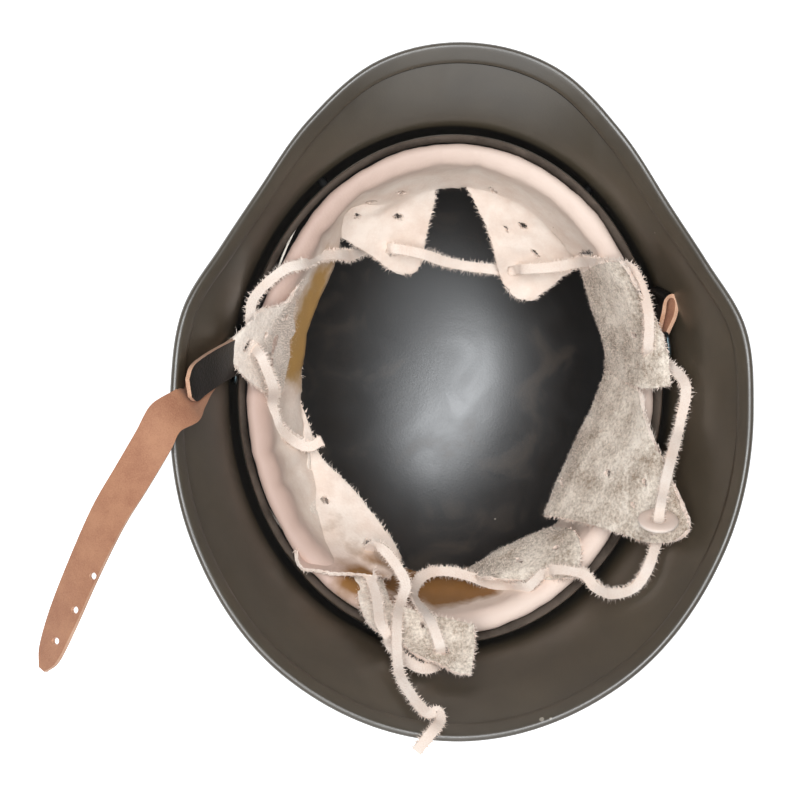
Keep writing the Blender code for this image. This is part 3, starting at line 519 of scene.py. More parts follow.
def paint_shade_on_grain(made, colours):
    """Pink handling marks on the sweatband's roll with painted shade that darkens it towards the left, and patches of
    brown and amber painted shade low in the hollows under the fingers at the rear and at the left.
    """
    tree = made.node_tree
    shader = tree.nodes["Principled BSDF"]
    tone = shader.inputs["Base Color"].links[0].from_socket
    place = next(n for n in tree.nodes if n.type == "VECT_MATH").outputs[0]
    axes = node(tree, "ShaderNodeSeparateXYZ", {0: place})
    # Painted light and shade: the roll is painted darker at the left and lighter at the right.
    shaded = blend(tree, axes.outputs["X"], -60.0, 30.0, colour(colours.roll), colour(colours.roll_painted_lit))
    rolled = blend(tree, axes.outputs["Z"], 100.0, 112.0, tone, shaded)
    cloud = node(tree, "ShaderNodeTexNoise", {"Vector": place, "Scale": 0.1, "Detail": 4.0})
    # Painted shade: dark patches where the grain side lies in the hollows under the fingers.
    for x, y, z, reach, tone in PAINTED_SHADE_PATCHES:
        away = node(tree, "ShaderNodeVectorMath", {0: place, 1: (x, y, z)}, operation="DISTANCE")
        torn = node(tree, "ShaderNodeMath", {0: cloud.outputs[0], 1: 14.0, 2: away.outputs["Value"]}, operation="MULTIPLY_ADD")
        rolled = blend(tree, torn.outputs[0], reach + 4.0, reach + 11.0, colour(getattr(colours, tone)), rolled)
    tree.links.new(rolled, shader.inputs["Base Color"])


def pale_flesh(made, colours):
    """The rough side of the fingers at the left is cleaner and paler."""
    tree = made.node_tree
    shader = tree.nodes["Principled BSDF"]
    tone = shader.inputs["Base Color"].links[0].from_socket
    place = next(n for n in tree.nodes if n.type == "VECT_MATH").outputs[0]
    axes = node(tree, "ShaderNodeSeparateXYZ", {0: place})
    pale = node(tree, "ShaderNodeMix", {0: 0.75, 6: tone, 7: colour(colours.edge)}, data_type="RGBA")
    tree.links.new(blend(tree, axes.outputs["X"], -50.0, -10.0, pale.outputs[2], tone), shader.inputs["Base Color"])


def backdrop_finish(tone):
    """Matt white paper over a light table."""
    made, tree, shader, place = finish("matt_studio_paper", Roughness=0.9,
                                       Emission_Color=(1.0, 1.0, 1.0, 1.0), Emission_Strength=0.6)
    fibre = node(tree, "ShaderNodeTexNoise", {"Vector": place, "Scale": 0.4, "Detail": 3.0})
    tint = blend(tree, fibre.outputs[0], 0.2, 0.8, colour(tuple(0.97 * c for c in tone)), colour(tone))
    tree.links.new(tint, shader.inputs["Base Color"])
    return made


# Painted shade on the grain side, brown in the hollows under the rear fingers and amber beside the left fingers: x, y,
# z and reach in mm, and colour
PAINTED_SHADE_PATCHES = (
    (-52, -74, 84, 15, "painted_brown_shade"), (-34, -82, 84, 15, "painted_brown_shade"), (-16, -90, 86, 17, "painted_brown_shade"),
    (2, -91, 86, 17, "painted_brown_shade"), (16, -88, 86, 14, "painted_brown_shade"), (-34, -80, 92, 12, "painted_brown_shade"),
    (-37, -81, 111, 8, "painted_brown_shade"), (-28, -85, 111, 8, "painted_brown_shade"),
    (-64, 48, 80, 15, "painted_amber_shade"), (-68, 34, 80, 17, "painted_amber_shade"), (-71, 18, 80, 17, "painted_amber_shade"), (-72, 6, 80, 12, "painted_amber_shade"),
)


def finishes():
    """The finishes by name, made once."""
    held = bpy.context.scene.helmet_colours
    made = {m.name: m for m in bpy.data.materials if m.get("helmet")}
    if made:
        return made
    for material in (
        paint_finish(held),
        steel_finish("bright_spring_steel", held.steel, held.steel_stain, 0.3),
        steel_finish("tarnished_spring_steel", held.steel_stain, held.tarnish, 0.35, 0.35),
        steel_finish("blued_wire", held.wire, held.steel_stain, 0.3),
        painted_crease_shade_finish(held.deep_painted_shade),
        hide_finish("chrome_hide_grain_side", held.grain, held.grain_shade, held.hide_stain, 1.1, 0.25, 0.00008, 0.55, 0.05),
        hide_finish("chrome_hide_flesh_side", held.flesh, held.flesh_shade, held.flesh_shade, 1.4, 1.0, 0.0004, 0.95, 0.1),
        hide_finish("chrome_hide_cut_edge", held.edge, held.grain_shade, held.flesh, 0.5, 1.0, 0.0002, 0.95, 0.2),
        hide_finish("strap_hide_grain_side", held.strap, held.strap_shade, held.strap_shade, 0.9, 0.6, 0.00012, 0.42, 0.0),
        hide_finish("strap_hide_flesh_side", held.strap_flesh, held.strap_flesh_shade, held.strap_flesh_shade, 0.6, 0.8, 0.00012, 0.7, 0.1),
        hide_finish("strap_hide_cut_edge", held.strap_edge, held.strap_flesh, held.strap_flesh, 0.5, 0.8, 0.0001, 0.7, 0.1),
    ):
        material["helmet"] = True
        made[material.name] = material
    paint_shade_on_grain(made["chrome_hide_grain_side"], held)
    pale_flesh(made["chrome_hide_flesh_side"], held)
    return made


def dome_radius(degrees):
    turn = math.radians(degrees)
    return 1.0 / math.hypot(math.cos(turn) / DOME_HALF_WIDTH, math.sin(turn) / DOME_HALF_LENGTH)


def dome_line(degrees):
    """Outer dome from the crown to the wall, as radius and height."""
    wall = dome_radius(degrees)
    power = 2.0 / DOME_SQUARENESS
    line = []
    for tau in np.linspace(0.4, 90.0, 44)[:-1]:
        turn = math.radians(tau)
        line.append((wall * math.sin(turn) ** power, DOME_DEPTH * (1.0 - math.cos(turn) ** power)))
    return line


def flare_line(degrees, steps):
    """Outer flare from the wall to the rim, as radius and height, with a step at the hem."""
    folded = math.degrees(math.atan2(math.sin(math.radians(degrees)), abs(math.cos(math.radians(degrees)))))
    reach, height, slope = eased(RIM, folded)
    reach, height, slope = reach * MM, height * MM, math.radians(slope)
    wall = dome_radius(degrees)
    lean = FLARE_LEAN * (reach - wall)
    start = np.array((wall, DOME_DEPTH))
    rise = np.array((wall, DOME_DEPTH + FLARE_RISE * (height - DOME_DEPTH)))
    turn = np.array((reach - lean, height - lean * math.tan(slope)))
    end = np.array((reach, height))
    s = np.linspace(0.0, 1.0, 80)[:, None]
    curve = (1 - s)**3 * start + 3 * (1 - s)**2 * s * rise + 3 * (1 - s) * s**2 * turn + s**3 * end
    run = np.r_[0.0, np.cumsum(np.linalg.norm(np.diff(curve, axis=0), axis=1))]
    places = np.r_[np.linspace(0.0, run[-1] - HEM_DEPTH, steps), run[-1] - HEM_DEPTH * np.array((0.94, 0.7, 0.45, 0.2, 0.0))]
    return [(np.interp(p, run, curve[:, 0]), np.interp(p, run, curve[:, 1])) for p in places]


def shell_section(degrees, hem_radius):
    """Closed section of the sheet: outer face, rolled hem and inner face, crown to crown."""
    outer = np.array(dome_line(degrees) + flare_line(degrees, 26))
    along = np.gradient(outer, axis=0)
    along[0] = (1.0, 0.0)
    along /= np.linalg.norm(along, axis=1)[:, None]
    inward = np.stack([-along[:, 1], along[:, 0]], axis=1)
    inner = outer + STEEL * inward
    axis = outer[-1] + hem_radius * inward[-1]
    roll = [axis + hem_radius * (math.sin(a) * along[-1] - math.cos(a) * inward[-1])
            for a in np.radians(np.linspace(18.0, 180.0, 10))]
    lip = [outer[k] + h * MM * inward[k] for k, h in ((-2, 3.35), (-3, 3.3), (-4, 3.2), (-5, 3.0))]
    edge = outer[-5] - 0.45 * MM * along[-5]
    under = [edge + 2.6 * MM * inward[-5], edge + 1.75 * MM * inward[-5],
             outer[-5] + 1.35 * MM * inward[-5], edge - CREASE_WIDTH * along[-5] + STEEL * inward[-5]]
    return np.vstack([outer, roll, lip, under, inner[-6::-1]])


def make_shell(sizes):
    sections = []
    for j in range(SHELL_SIDES):
        degrees = 360.0 * j / SHELL_SIDES
        c, s = math.cos(math.radians(degrees)), math.sin(math.radians(degrees))
        sections.append([(r * c, r * s, z) for r, z in shell_section(degrees, sizes.hem_radius)])
    points, faces = ring(sections)
    count = len(sections[0])
    closing = (count - 1) * SHELL_SIDES
    faces = faces[:(count - 1) * SHELL_SIDES]
    faces.append(tuple(range(SHELL_SIDES))[::-1])
    faces.append(tuple(closing + j for j in range(SHELL_SIDES)))
    shell = piece("shell_fine", points, faces, [finishes()["field_grey_enamel_on_pressed_steel"],
                                                finishes()["packed_grime"]], 42.0)
    outside = len(dome_line(0.0)) + len(flare_line(0.0, 26))
    # Painted shade: the rows along the hem's crease take the dark second finish.
    crease = outside + 10 + 4
    for face in shell.data.polygons:
        row = face.index // SHELL_SIDES
        face.material_index = int(crease <= row < crease + CREASE_ROWS - 1 and face.index < (count - 1) * SHELL_SIDES)
    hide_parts("shell")


def make_bands(sizes):
    """Both spring bands as strip with rolled edges and a slightly uneven top."""
    low = BAND_TOP - BAND_HEIGHT
    half = sizes.band_thickness / 2
    steel = finishes()["bright_spring_steel"]
    for name, node_name, inset, top in (("band_outer_fine", "liner_outer_band", 0.0, BAND_TOP),
                                        ("band_inner_fine", "liner_inner_band", BAND_SPACING, BAND_TOP - 3.5 * MM)):
        outline = [(0.0, top), (-half, top - half), (BAND_KINK[0] - half, top - BAND_KINK[1]),
                   (sizes.band_lean - half, low + half), (sizes.band_lean, low), (sizes.band_lean + half, low + half),
                   (BAND_KINK[0] + half, top - BAND_KINK[1]), (half, top - half)]
        sections = []
        for j in range(BAND_SIDES):
            section = []
            for lean, z in outline:
                x, y = ellipse(BAND_HALF_WIDTH - inset - lean, BAND_HALF_LENGTH - inset - lean, 360.0 * j / BAND_SIDES)
                section.append((x, y, z + 0.25 * MM * noise.noise(Vector((x, y, 0.0)) * 30.0)))
            sections.append(section)
        points, faces = ring(sections)
        band = piece(name, points, faces, [finishes()["tarnished_spring_steel"], steel], 60.0)
        for face in band.data.polygons:
            face.material_index = int(face.index // BAND_SIDES in (0, 7))
        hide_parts(node_name)
    for name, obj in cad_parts.items():
        if name.startswith("band_spring"):
            for held in obj.material_slots:
                held.material = steel


def make_pins(sizes):
    """Split pins: a domed head outside, a shank and two spread legs inside the outer band; the shank and legs are
    painted dark as painted shade.
    """
    # The second finish here is the painted shade for the shank and legs.
    paint, steel = (finishes()[n] for n in ("field_grey_enamel_on_pressed_steel", "packed_grime"))
    for number, degrees in enumerate(PIN_ANGLES, 1):
        low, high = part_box("liner_pin_%d" % number)
        x, y = ellipse(BAND_HALF_WIDTH, BAND_HALF_LENGTH, degrees)
        out = Vector((x / BAND_HALF_WIDTH**2, y / BAND_HALF_LENGTH**2, 0.0)).normalized()
        place = Vector((x, y, PIN_HEIGHT))
        corners = [Vector((a, b, PIN_HEIGHT)) for a in (low[0], high[0]) for b in (low[1], high[1])]
        reach = max((c - place).dot(out) for c in corners)
        radius = (high[2] - low[2]) / 2
        reach = min(reach, sizes.pin_reach)
        profile = [(0.0, reach)]
        profile += [(radius * math.sin(a), reach - 2.4 * MM * (1 - math.cos(a))) for a in np.radians(range(10, 91, 10))]
        profile += [(radius, reach - 3.0 * MM), (1.9 * MM, reach - 3.0 * MM), (1.9 * MM, -1.4 * MM)]
        profile += [(3.8 * MM, -1.5 * MM), (3.8 * MM, -2.1 * MM), (0.0, -2.2 * MM)]
        turn = out.to_track_quat("Z", "Y").to_matrix()
        steps = 32
        points = []
        for r, z in profile:
            for k in range(steps):
                a = 2 * math.pi * k / steps
                points.append(place + turn @ Vector((r * math.cos(a), r * math.sin(a), z)))
        pin = piece("pin_fine_%d" % number, points, grid_faces(len(profile), steps, True), [paint, steel], 40.0)
        for face in pin.data.polygons:
            # Painted shade: the shank and legs take the dark second finish.
            face.material_index = int(face.index >= 11 * steps)
        weld(pin)
        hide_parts("liner_pin_%d" % number)


def weld(obj):
    shape = bmesh.new()
    shape.from_mesh(obj.data)
    bmesh.ops.remove_doubles(shape, verts=shape.verts, dist=0.00001)
    bmesh.ops.recalc_face_normals(shape, faces=shape.faces)
    shape.to_mesh(obj.data)
    shape.free()


def liner_point(degrees, inward, height):
    inset = BAND_SPACING + 0.5 * MM + inward * MM
    x, y = ellipse(BAND_HALF_WIDTH - inset, BAND_HALF_LENGTH - inset, degrees)
    return np.array((x, y, height * MM))


def sweatband_line(degrees):
    """Section of the sweatband at an angle, with its creases."""
    turn = math.radians(degrees - SWEATBAND_UPRIGHT_ANGLE)
    share = SWEATBAND_LEAN - SWEATBAND_LEAN_CHANGE * math.cos(turn)
    crease = sum(depth * math.exp(-(((degrees - angle + 180) % 360 - 180) / width) ** 2)
                 for angle, depth, width in CREASES)
    off, notch = (amount * math.exp(-((degrees - angle) / width) ** 2)
                  for angle, width, amount in (STAND_OFF, NOTCH))
    share *= 1.0 - notch
    line = []
    for k, (inward, height) in enumerate(SWEATBAND):
        if inward > SWEATBAND_HELD:
            inward = SWEATBAND_HELD + (inward - SWEATBAND_HELD) * share
        pull = crease * (0.0 if k < 4 else min(1.0, (k - 3) / 4)) * (1.0 if k < len(SWEATBAND) - 2 else 0.5)
        line.append(liner_point(degrees, inward + off - pull, height - 0.5 * pull))
    return line


def finger_grid(first, cells, folds):
    """Rows of points across one finger, from the sweatband's edge to its tip."""
    columns = cells * FINE + 1
    root = np.array([sweatband_line(360.0 * (first + k / FINE) / LINER_COLUMNS)[-2:] for k in range(columns)])
    rows = [root[:, 0], root[:, 1]]
    for fold in folds:
        rows.append(spread([seen(*place) for place in fold], columns))
    return through(np.array(rows), 9)[9:]


def ruffle(points, normals, size, depth):
    """Moves points along their normals by smooth noise, in metres."""
    return [p + n * depth * noise.fractal(p / size, 0.6, 2.0, 3) for p, n in zip(points, normals)]


def make_leather(sizes):
    rng = random.Random(SEED)
    ring_columns = LINER_COLUMNS * FINE
    ring_rows = through(np.array([sweatband_line(360.0 * c / ring_columns) for c in range(ring_columns)]).transpose(1, 0, 2), 3)
    points = [Vector(p) for row in ring_rows for p in row]
    faces = grid_faces(len(ring_rows), ring_columns, True)
    owner = [""] * len(points)
    edge = (len(ring_rows) - 1) * ring_columns
    for name, (first, cells, folds) in FINGERS.items():
        grid = finger_grid(first, cells, folds)
        columns = cells * FINE + 1
        before = [edge + (first * FINE + k) % ring_columns for k in range(columns)]
        for r, row in enumerate(grid[1:]):
            here = list(range(len(points), len(points) + columns))
            points += [Vector(p) for p in row]
            owner += [name if r > 8 or name.startswith("front") else ""] * columns
            faces += [(before[k], before[k + 1], here[k + 1], here[k]) for k in range(columns - 1)]
            before = here
    grain, flesh, cut = (finishes()[n] for n in ("chrome_hide_grain_side", "chrome_hide_flesh_side", "chrome_hide_cut_edge"))
    leather = piece("liner_hide_sheet", points, faces, [grain, flesh, cut, flesh, grain, cut], 80.0)
    shape = bmesh.new()
    shape.from_mesh(leather.data)
    shape.verts.ensure_lookup_table()
    tag = shape.verts.layers.int.new("owner")
    loose = shape.verts.layers.int.new("finger")
    names = list(FINGERS)
    for v, name in zip(shape.verts, owner):
        v[tag] = names.index(name) + 1 if name else 0
        v[loose] = int(v.index >= len(ring_rows) * ring_columns)
    shape.normal_update()
    moved = ruffle([v.co.copy() for v in shape.verts], [v.normal.copy() for v in shape.verts], 0.016, 0.5 * MM)
    for v, place in zip(shape.verts, moved):
        v.co = place
    turned_over = names.index(TURNED_OVER) + 1
    for face in shape.faces:
        if face.verts[0][tag] == turned_over:
            face.material_index = 3
    for name, x, y, wide, high, turn in HOLES:
        owned = names.index(name) + 1 if name else 0
        punch(shape, [v for v in shape.verts if v[tag] == owned and v.co.z > 50 * MM],
              x, y, wide * MM, high * MM, math.radians(turn))
    ragged = {}
    for line in shape.edges:
        if len(line.link_faces) == 1 and min(v.index for v in line.verts) >= ring_columns:
            middle = (line.verts[0].co + line.verts[1].co) / 2
            away = middle - line.link_faces[0].calc_center_median()
            ragged[line.index] = (middle, away.normalized(), line.link_faces[0].normal.copy(), line.calc_length())
    for v in shape.verts:
        if v.is_boundary and v.index >= ring_columns:
            v.co += 0.45 * MM * Vector(noise.noise_vector(v.co * 700.0))
    nap = []
    for face in shape.faces:
        rough = face.normal if face.material_index else -face.normal
        if face.verts[0][loose] and rough.z > -NAP_LIMIT:
            tangent = (face.verts[1].co - face.verts[0].co).normalized()
            nap.append((face.calc_center_median() + rough * (sizes.leather / 2), rough, tangent, face.calc_area() / MM))
    shape.to_mesh(leather.data)
    shape.free()
    thicken(leather, sizes.leather, 0.25 * MM)
    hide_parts("liner_leather")
    make_fibres("liner_hide_fibres", list(ragged.values()), rng, sizes.leather, 3.6)
    make_fibres("liner_hide_nap", nap, rng, sizes.leather, NAP_DENSITY, 0.55, 0.0)


def punch(shape, verts, x, y, wide, high, turn=0.0):
    """Opens a hole in a sheet round a place in the view, with a finer mesh round it."""
    centre = min(verts, key=lambda v: math.dist(in_view(v.co), (x, y)))
    middle = centre.co.copy()
    reach = 1.5 * max(wide, high) + HOLE_MARGIN
    near, todo = set(), [centre]
    while todo:
        for face in todo.pop().link_faces:
            if face not in near and (face.calc_center_median() - middle).length < reach:
                near.add(face)
                todo += face.verts
    lines = {line for face in near for line in face.edges}
    bmesh.ops.subdivide_edges(shape, edges=list(lines), cuts=HOLE_CUTS, use_grid_fill=True)
    scale = VIEW_DISTANCE / (LENS / SENSOR * IMAGE)

    def out(place):
        px, py = in_view(place)
        dx, dy = px - x, py - y
        return scale * math.hypot((dx * math.cos(turn) + dy * math.sin(turn)) / wide,
                                  (dy * math.cos(turn) - dx * math.sin(turn)) / high)

    seeds = [f for f in shape.faces if (f.calc_center_median() - middle).length < reach]
    gone = [f for f in seeds if out(f.calc_center_median()) < 1.0 and f.normal.length > 0.0]
    rim = {w for f in gone for w in f.verts}
    bmesh.ops.delete(shape, geom=gone, context="FACES")
    for w in rim:
        if w.is_valid and w.link_faces:
            far = out(w.co)
            if 0.3 < far < 1.6:
                w.co = middle + (w.co - middle) / far


def make_fibres(name, edges, rng, thickness, density, reach=1.0, tufts=TUFT_SHARE):
    """Loose fibres and tufts that stand out from cut edges: each edge has a place, a way out, a way up
    and a length."""
    points, faces = [], []
    for middle, away, up, span in edges:
        along = away.cross(up).normalized()
        for _ in range(int(density * span / MM + rng.random())):
            tuft = rng.random() < tufts
            length = (rng.uniform(0.7, 2.2) if tuft else rng.uniform(0.9, 3.2)) * reach * MM
            stout = rng.uniform(0.22, 0.42) if tuft else rng.uniform(0.08, 0.14)
            side = Vector((rng.uniform(-1, 1), rng.uniform(-1, 1), rng.uniform(-1, 1)))
            way = (away + (0.5 if tuft else 0.8) * side).normalized()
            base = middle + along * rng.uniform(-0.5, 0.5) * span - up * rng.uniform(-0.4, 0.4) * thickness
            base -= away * 0.35 * MM
            across = way.orthogonal().normalized()
            bend = way.cross(across) * rng.uniform(-0.35, 0.35) * length
            first = len(points)
            for share, thick in ((0.0, stout), (0.5, 0.6 * stout)):
                spot = base + way * length * share + bend * share * share
                for a in (0.0, 120.0, 240.0):
                    turned = Matrix.Rotation(math.radians(a), 3, way) @ across
                    points.append(spot + turned * thick * MM)
            points.append(base + way * length + bend)
            faces += grid_faces(2, 3, True, first)
            faces += [(first + 3, first + 4, first + 6), (first + 4, first + 5, first + 6),
                      (first + 5, first + 3, first + 6)]
    fibres = piece(name, points, faces, [finishes()["chrome_hide_cut_edge"]])
    return fibres


def make_lace(sizes):
    """A flat thong cut from the same hide, threaded through the finger tips and the washer."""
    route = through(np.array(LACE_ROUTE, float) * MM, 10)
    half, thin = sizes.lace_width / 2, sizes.lace_thickness / 2
    count = len(route)
    up = Vector((0.0, 0.0, 1.0))
    face = Vector((0.0, 0.0, 1.0))
    points, ragged = [], []
    profile = ((1.0, 0.75), (0.95, 1.0), (0.0, 1.04), (-0.95, 1.0), (-1.0, 0.75),
               (-1.0, -0.75), (-0.95, -1.0), (0.0, -1.04), (0.95, -1.0), (1.0, -0.75))
    for i in range(count):
        along = Vector(route[min(i + 1, count - 1)] - route[max(i - 1, 0)]).normalized()
        face = (face * 0.8 + up * 0.2)
        face = (face - along * face.dot(along)).normalized()
        across = along.cross(face)
        wide = half * (1.0 + 0.14 * noise.noise(Vector((i * 0.09, 2.0, 0.0))))
        span = float(np.linalg.norm(route[min(i + 1, count - 1)] - route[max(i - 1, 0)])) / 2
        for way, share in ((1.0, 1.0), (-1.0, 0.6)):
            ragged.append((Vector(route[i]) + across * way * wide, across * way, face.copy(), share * span))
        for a, b in profile:
            torn = 1.0 + (0.16 * noise.noise(Vector((i * 0.9, 9.0 * a, 0.0))) if abs(a) > 0.8 else 0.0)
            points.append(Vector(route[i]) + across * a * torn * wide + face * b * thin)
    sides = len(profile)
    faces = [(b, a, d, c) for a, b, c, d in grid_faces(count, sides, True)]
    faces.append(tuple(range(sides)))
    faces.append(tuple(range((count - 1) * sides, count * sides))[::-1])
    lace = piece("lace_thong", points, faces, [finishes()["chrome_hide_cut_edge"]], 28.0)
    make_fibres("lace_fibres", ragged, random.Random(SEED + 1), sizes.lace_thickness, 4.5, 0.95)
    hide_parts("liner_lace")
    return lace, route


def make_washer():
    radius, half, hole = WASHER_RADIUS, WASHER_THICKNESS / 2, WASHER_HOLE
    profile = [(hole, half * 0.7), (hole + 0.4 * MM, half), (radius - 0.6 * MM, half), (radius - 0.15 * MM, half * 0.6),
               (radius, 0.0), (radius - 0.15 * MM, -half * 0.6), (radius - 0.6 * MM, -half),
               (hole + 0.4 * MM, -half), (hole, -half * 0.7)]
    turn = Vector(WASHER_LEAN).to_track_quat("Z", "Y").to_matrix()
    sections = []
    for k in range(64):
        a = 2 * math.pi * k / 64
        wave = 1.0 + 0.02 * noise.noise(Vector((math.cos(a), math.sin(a), 0.0)) * 1.7)
        section = []
        for r, z in profile:
            place = Vector((r * wave * math.cos(a), r * wave * math.sin(a), z))
            section.append(Vector(WASHER_PLACE) * MM + turn @ place)
        sections.append(section)
    points, faces = ring(sections)
    washer = piece("washer_fine", points, faces, [finishes()["chrome_hide_grain_side"], finishes()["chrome_hide_cut_edge"]], 60.0)
    weld(washer)
    for face in washer.data.polygons:
        if abs(face.normal.dot(Vector(WASHER_LEAN).normalized())) < 0.7:
            face.material_index = 1
    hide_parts("lace_washer")
    return washer


def skirt_place(degrees, share, offset):
    """A place over the skirt's inner face and the face's normal there."""
    line = np.array(flare_line(degrees, 5))
    run = np.r_[0.0, np.cumsum(np.linalg.norm(np.diff(line, axis=0), axis=1))]
    at = share * run[-1]
    here, ahead, back = (np.array([np.interp(at + step, run, line[:, k]) for k in (0, 1)])
                         for step in (0.0, MM, -MM))
    along = (ahead - back) / np.linalg.norm(ahead - back)
    inward = np.array((-along[1], along[0]))
    r, z = here + inward * (STEEL + offset * MM)
    turn = math.radians(degrees)
    out = Vector((math.cos(turn), math.sin(turn), 0.0))
    return out * r + Vector((0.0, 0.0, z)), out * inward[0] + Vector((0.0, 0.0, inward[1]))


def band_slope(x, y):
    return -y / x * (BAND_HALF_WIDTH / BAND_HALF_LENGTH) ** 2


def strap_rows(sizes):
    """Places along the long strap, with the way its grain side faces, its roll and its width."""
    x, y, _, high, _ = LEFT_BAIL
    wire = Vector((x, y, high)) * MM
    wrap = (BAIL_WIRE + sizes.strap_thickness) / 2 + 0.3 * MM
    rows = [(*skirt_place(*row[:3]), 0.0, row[3]) for row in STRAP_TAB]
    for degrees in (20.0, -35.0, -90.0, -145.0, -200.0):
        a = math.radians(degrees)
        away = Vector((math.cos(a), -math.cos(a) * band_slope(x, y), math.sin(a)))
        rows.append((wire + wrap * away, away, 0.0, 1.0))
    for row in STRAP_UNDER:
        place, inward = skirt_place(*row[:3])
        rows.append((place, (-inward).lerp(Vector((0.0, 0.0, -1.0)), row[1]).normalized(), 0.0, row[3]))
    for x, y, z, roll, width in STRAP_RUN:
        rows.append((Vector((x, y, z)) * MM, Vector((0.0, 0.0, -1.0)), math.radians(roll), width))
    return rows


def strap_sheet(name, path, across, widths, cells, sizes):
    """A strap of hide along a smooth path, with a width direction and a width at each place."""
    fine = through(np.array([[*p, *s, w] for p, s, w in zip(path, across, widths)]), 10)
    points = []
    for row in fine:
        side = Vector(row[3:6]).normalized()
        for k in range(cells + 1):
            points.append(Vector(row[:3]) + side * row[6] * (k / cells - 0.5))
    faces = grid_faces(len(fine), cells + 1, False)
    hide = [finishes()[n] for n in ("strap_hide_grain_side", "strap_hide_flesh_side", "strap_hide_cut_edge")]
    strap = piece(name, points, faces, hide, 80.0)
    thicken(strap, sizes.strap_thickness, 0.3 * MM)
    return strap


def make_straps(sizes):
    rows = strap_rows(sizes)
    path = [row[0] for row in rows]
    across = []
    for i, row in enumerate(rows):
        along = (path[min(i + 1, len(path) - 1)] - path[max(i - 1, 0)]).normalized()
        flat = along.cross(row[1]).normalized()
        across.append(flat * math.cos(row[2]) + along.cross(flat) * math.sin(row[2]))
    long_strap = strap_sheet("chin_strap_long_fine", path, across, [sizes.strap_width * row[3] for row in rows], 20, sizes)
    shape = bmesh.new()
    shape.from_mesh(long_strap.data)
    for x, y in STRAP_HOLES:
        punch(shape, [v for v in shape.verts if v.co.x < -0.12], x, y, 1.5 * MM, 1.5 * MM)
    shape.to_mesh(long_strap.data)
    shape.free()
    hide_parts("chin_strap_long")
    leans = [Vector((-left, up, -1.0)).normalized() for _, _, left, up in reversed(SHORT_STRAP)]
    path = [seen(x, y, SHORT_STRAP_TOP) + lean * SHORT_STRAP_WIDTH / 2
            for (x, y, _, _), lean in zip(reversed(SHORT_STRAP), leans)]
    short = strap_sheet("chin_strap_short_fine", path, leans, [SHORT_STRAP_WIDTH] * len(path), 12, sizes)
    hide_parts("chin_strap_short")


def make_bails():
    """Bent wire loops on the outer band."""
    for name, bail in (("strap_bail_left", LEFT_BAIL), ("strap_bail_right", RIGHT_BAIL)):
        x, y, low, high, width = bail
        slope = band_slope(x, y)
        curve = bpy.data.curves.new(name + "_wire", "CURVE")
        curve.dimensions = "3D"
        curve.bevel_depth = BAIL_WIRE / 2
        curve.bevel_resolution = 5
        points = []
        for side, level, first in ((1, high, 0), (-1, high, 90), (-1, low, 180), (1, low, 270)):
            cy = side * (width / 2 - BAIL_CORNER)
            cz = level - BAIL_CORNER if level == high else level + BAIL_CORNER
            for k in range(9):
                a = math.radians(first + 90 * k / 8)
                off = cy + BAIL_CORNER * math.cos(a)
                points.append(Vector((x + slope * off, y + off, cz + BAIL_CORNER * math.sin(a))) * MM)
        spline = curve.splines.new("POLY")
        spline.points.add(len(points) - 1)
        for held, place in zip(spline.points, points):
            held.co = (*place, 1.0)
        spline.use_cyclic_u = True
        curve.materials.append(finishes()["blued_wire"])
        obj = bpy.data.objects.new(name + "_wire", curve)
        bpy.context.scene.collection.objects.link(obj)
        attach(obj, "root")
        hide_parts(name)


def make_camera():
    right, up = view_axes()
    data = bpy.data.cameras.new("view")
    data.lens = LENS
    data.sensor_width = SENSOR
    data.clip_end = 20.0
    camera = bpy.data.objects.new("view", data)
    turn = Matrix((right, up, VIEW_AWAY)).transposed()
    camera.matrix_world = Matrix.Translation(VIEW_MIDDLE + VIEW_AWAY * VIEW_DISTANCE) @ turn.to_4x4()
    bpy.context.scene.collection.objects.link(camera)
    bpy.context.scene.camera = camera


def make_studio(stage, colours):
    """A pale floor, soft lights and an even surround."""
    points = [(-3, -3, 0), (3, -3, 0), (3, 3, 0), (-3, 3, 0)]
    mesh = bpy.data.meshes.new("studio_floor")
    mesh.from_pydata(points, [], [(0, 1, 2, 3)])
    mesh.materials.append(backdrop_finish(colours.floor))
    floor = bpy.data.objects.new("studio_floor", mesh)
    bpy.context.scene.collection.objects.link(floor)
    for name, place, size, power in (
        ("softbox_top", (-0.3, 0.22, 2.2), (2.1, 0.9), stage.top_power),
        ("softbox_low", (0.15, -1.4, 1.7), (2.0, 2.0), stage.low_power),
    ):
        light = bpy.data.lights.new(name, "AREA")
        light.shape = "RECTANGLE"
        light.size, light.size_y = size
        light.energy = power
        light.color = (0.94, 0.97, 1.0)
        lamp = bpy.data.objects.new(name, light)
        lamp.location = place
        aim = Vector((0.0, 0.0, 0.09)) - Vector(place)
        lamp.rotation_euler = aim.to_track_quat("-Z", "Y").to_euler()
        bpy.context.scene.collection.objects.link(lamp)
    world = bpy.data.worlds.new("surround")
    world.use_nodes = True
    background = world.node_tree.nodes["Background"]
    background.inputs["Color"].default_value = (0.93, 0.96, 1.0, 1.0)
    background.inputs["Strength"].default_value = stage.surround
    bpy.context.scene.world = world
    bpy.context.scene.view_settings.view_transform = "Standard"


def length(name, description, default, low, high):
    return bpy.props.FloatProperty(name=name, description=description, default=default, min=low, max=high,
                                   unit="LENGTH", precision=4)


def tint(name, description, default):
    return bpy.props.FloatVectorProperty(name=name, description=description, subtype="COLOR", size=3,
                                         min=0.0, max=1.0, default=linear(default))


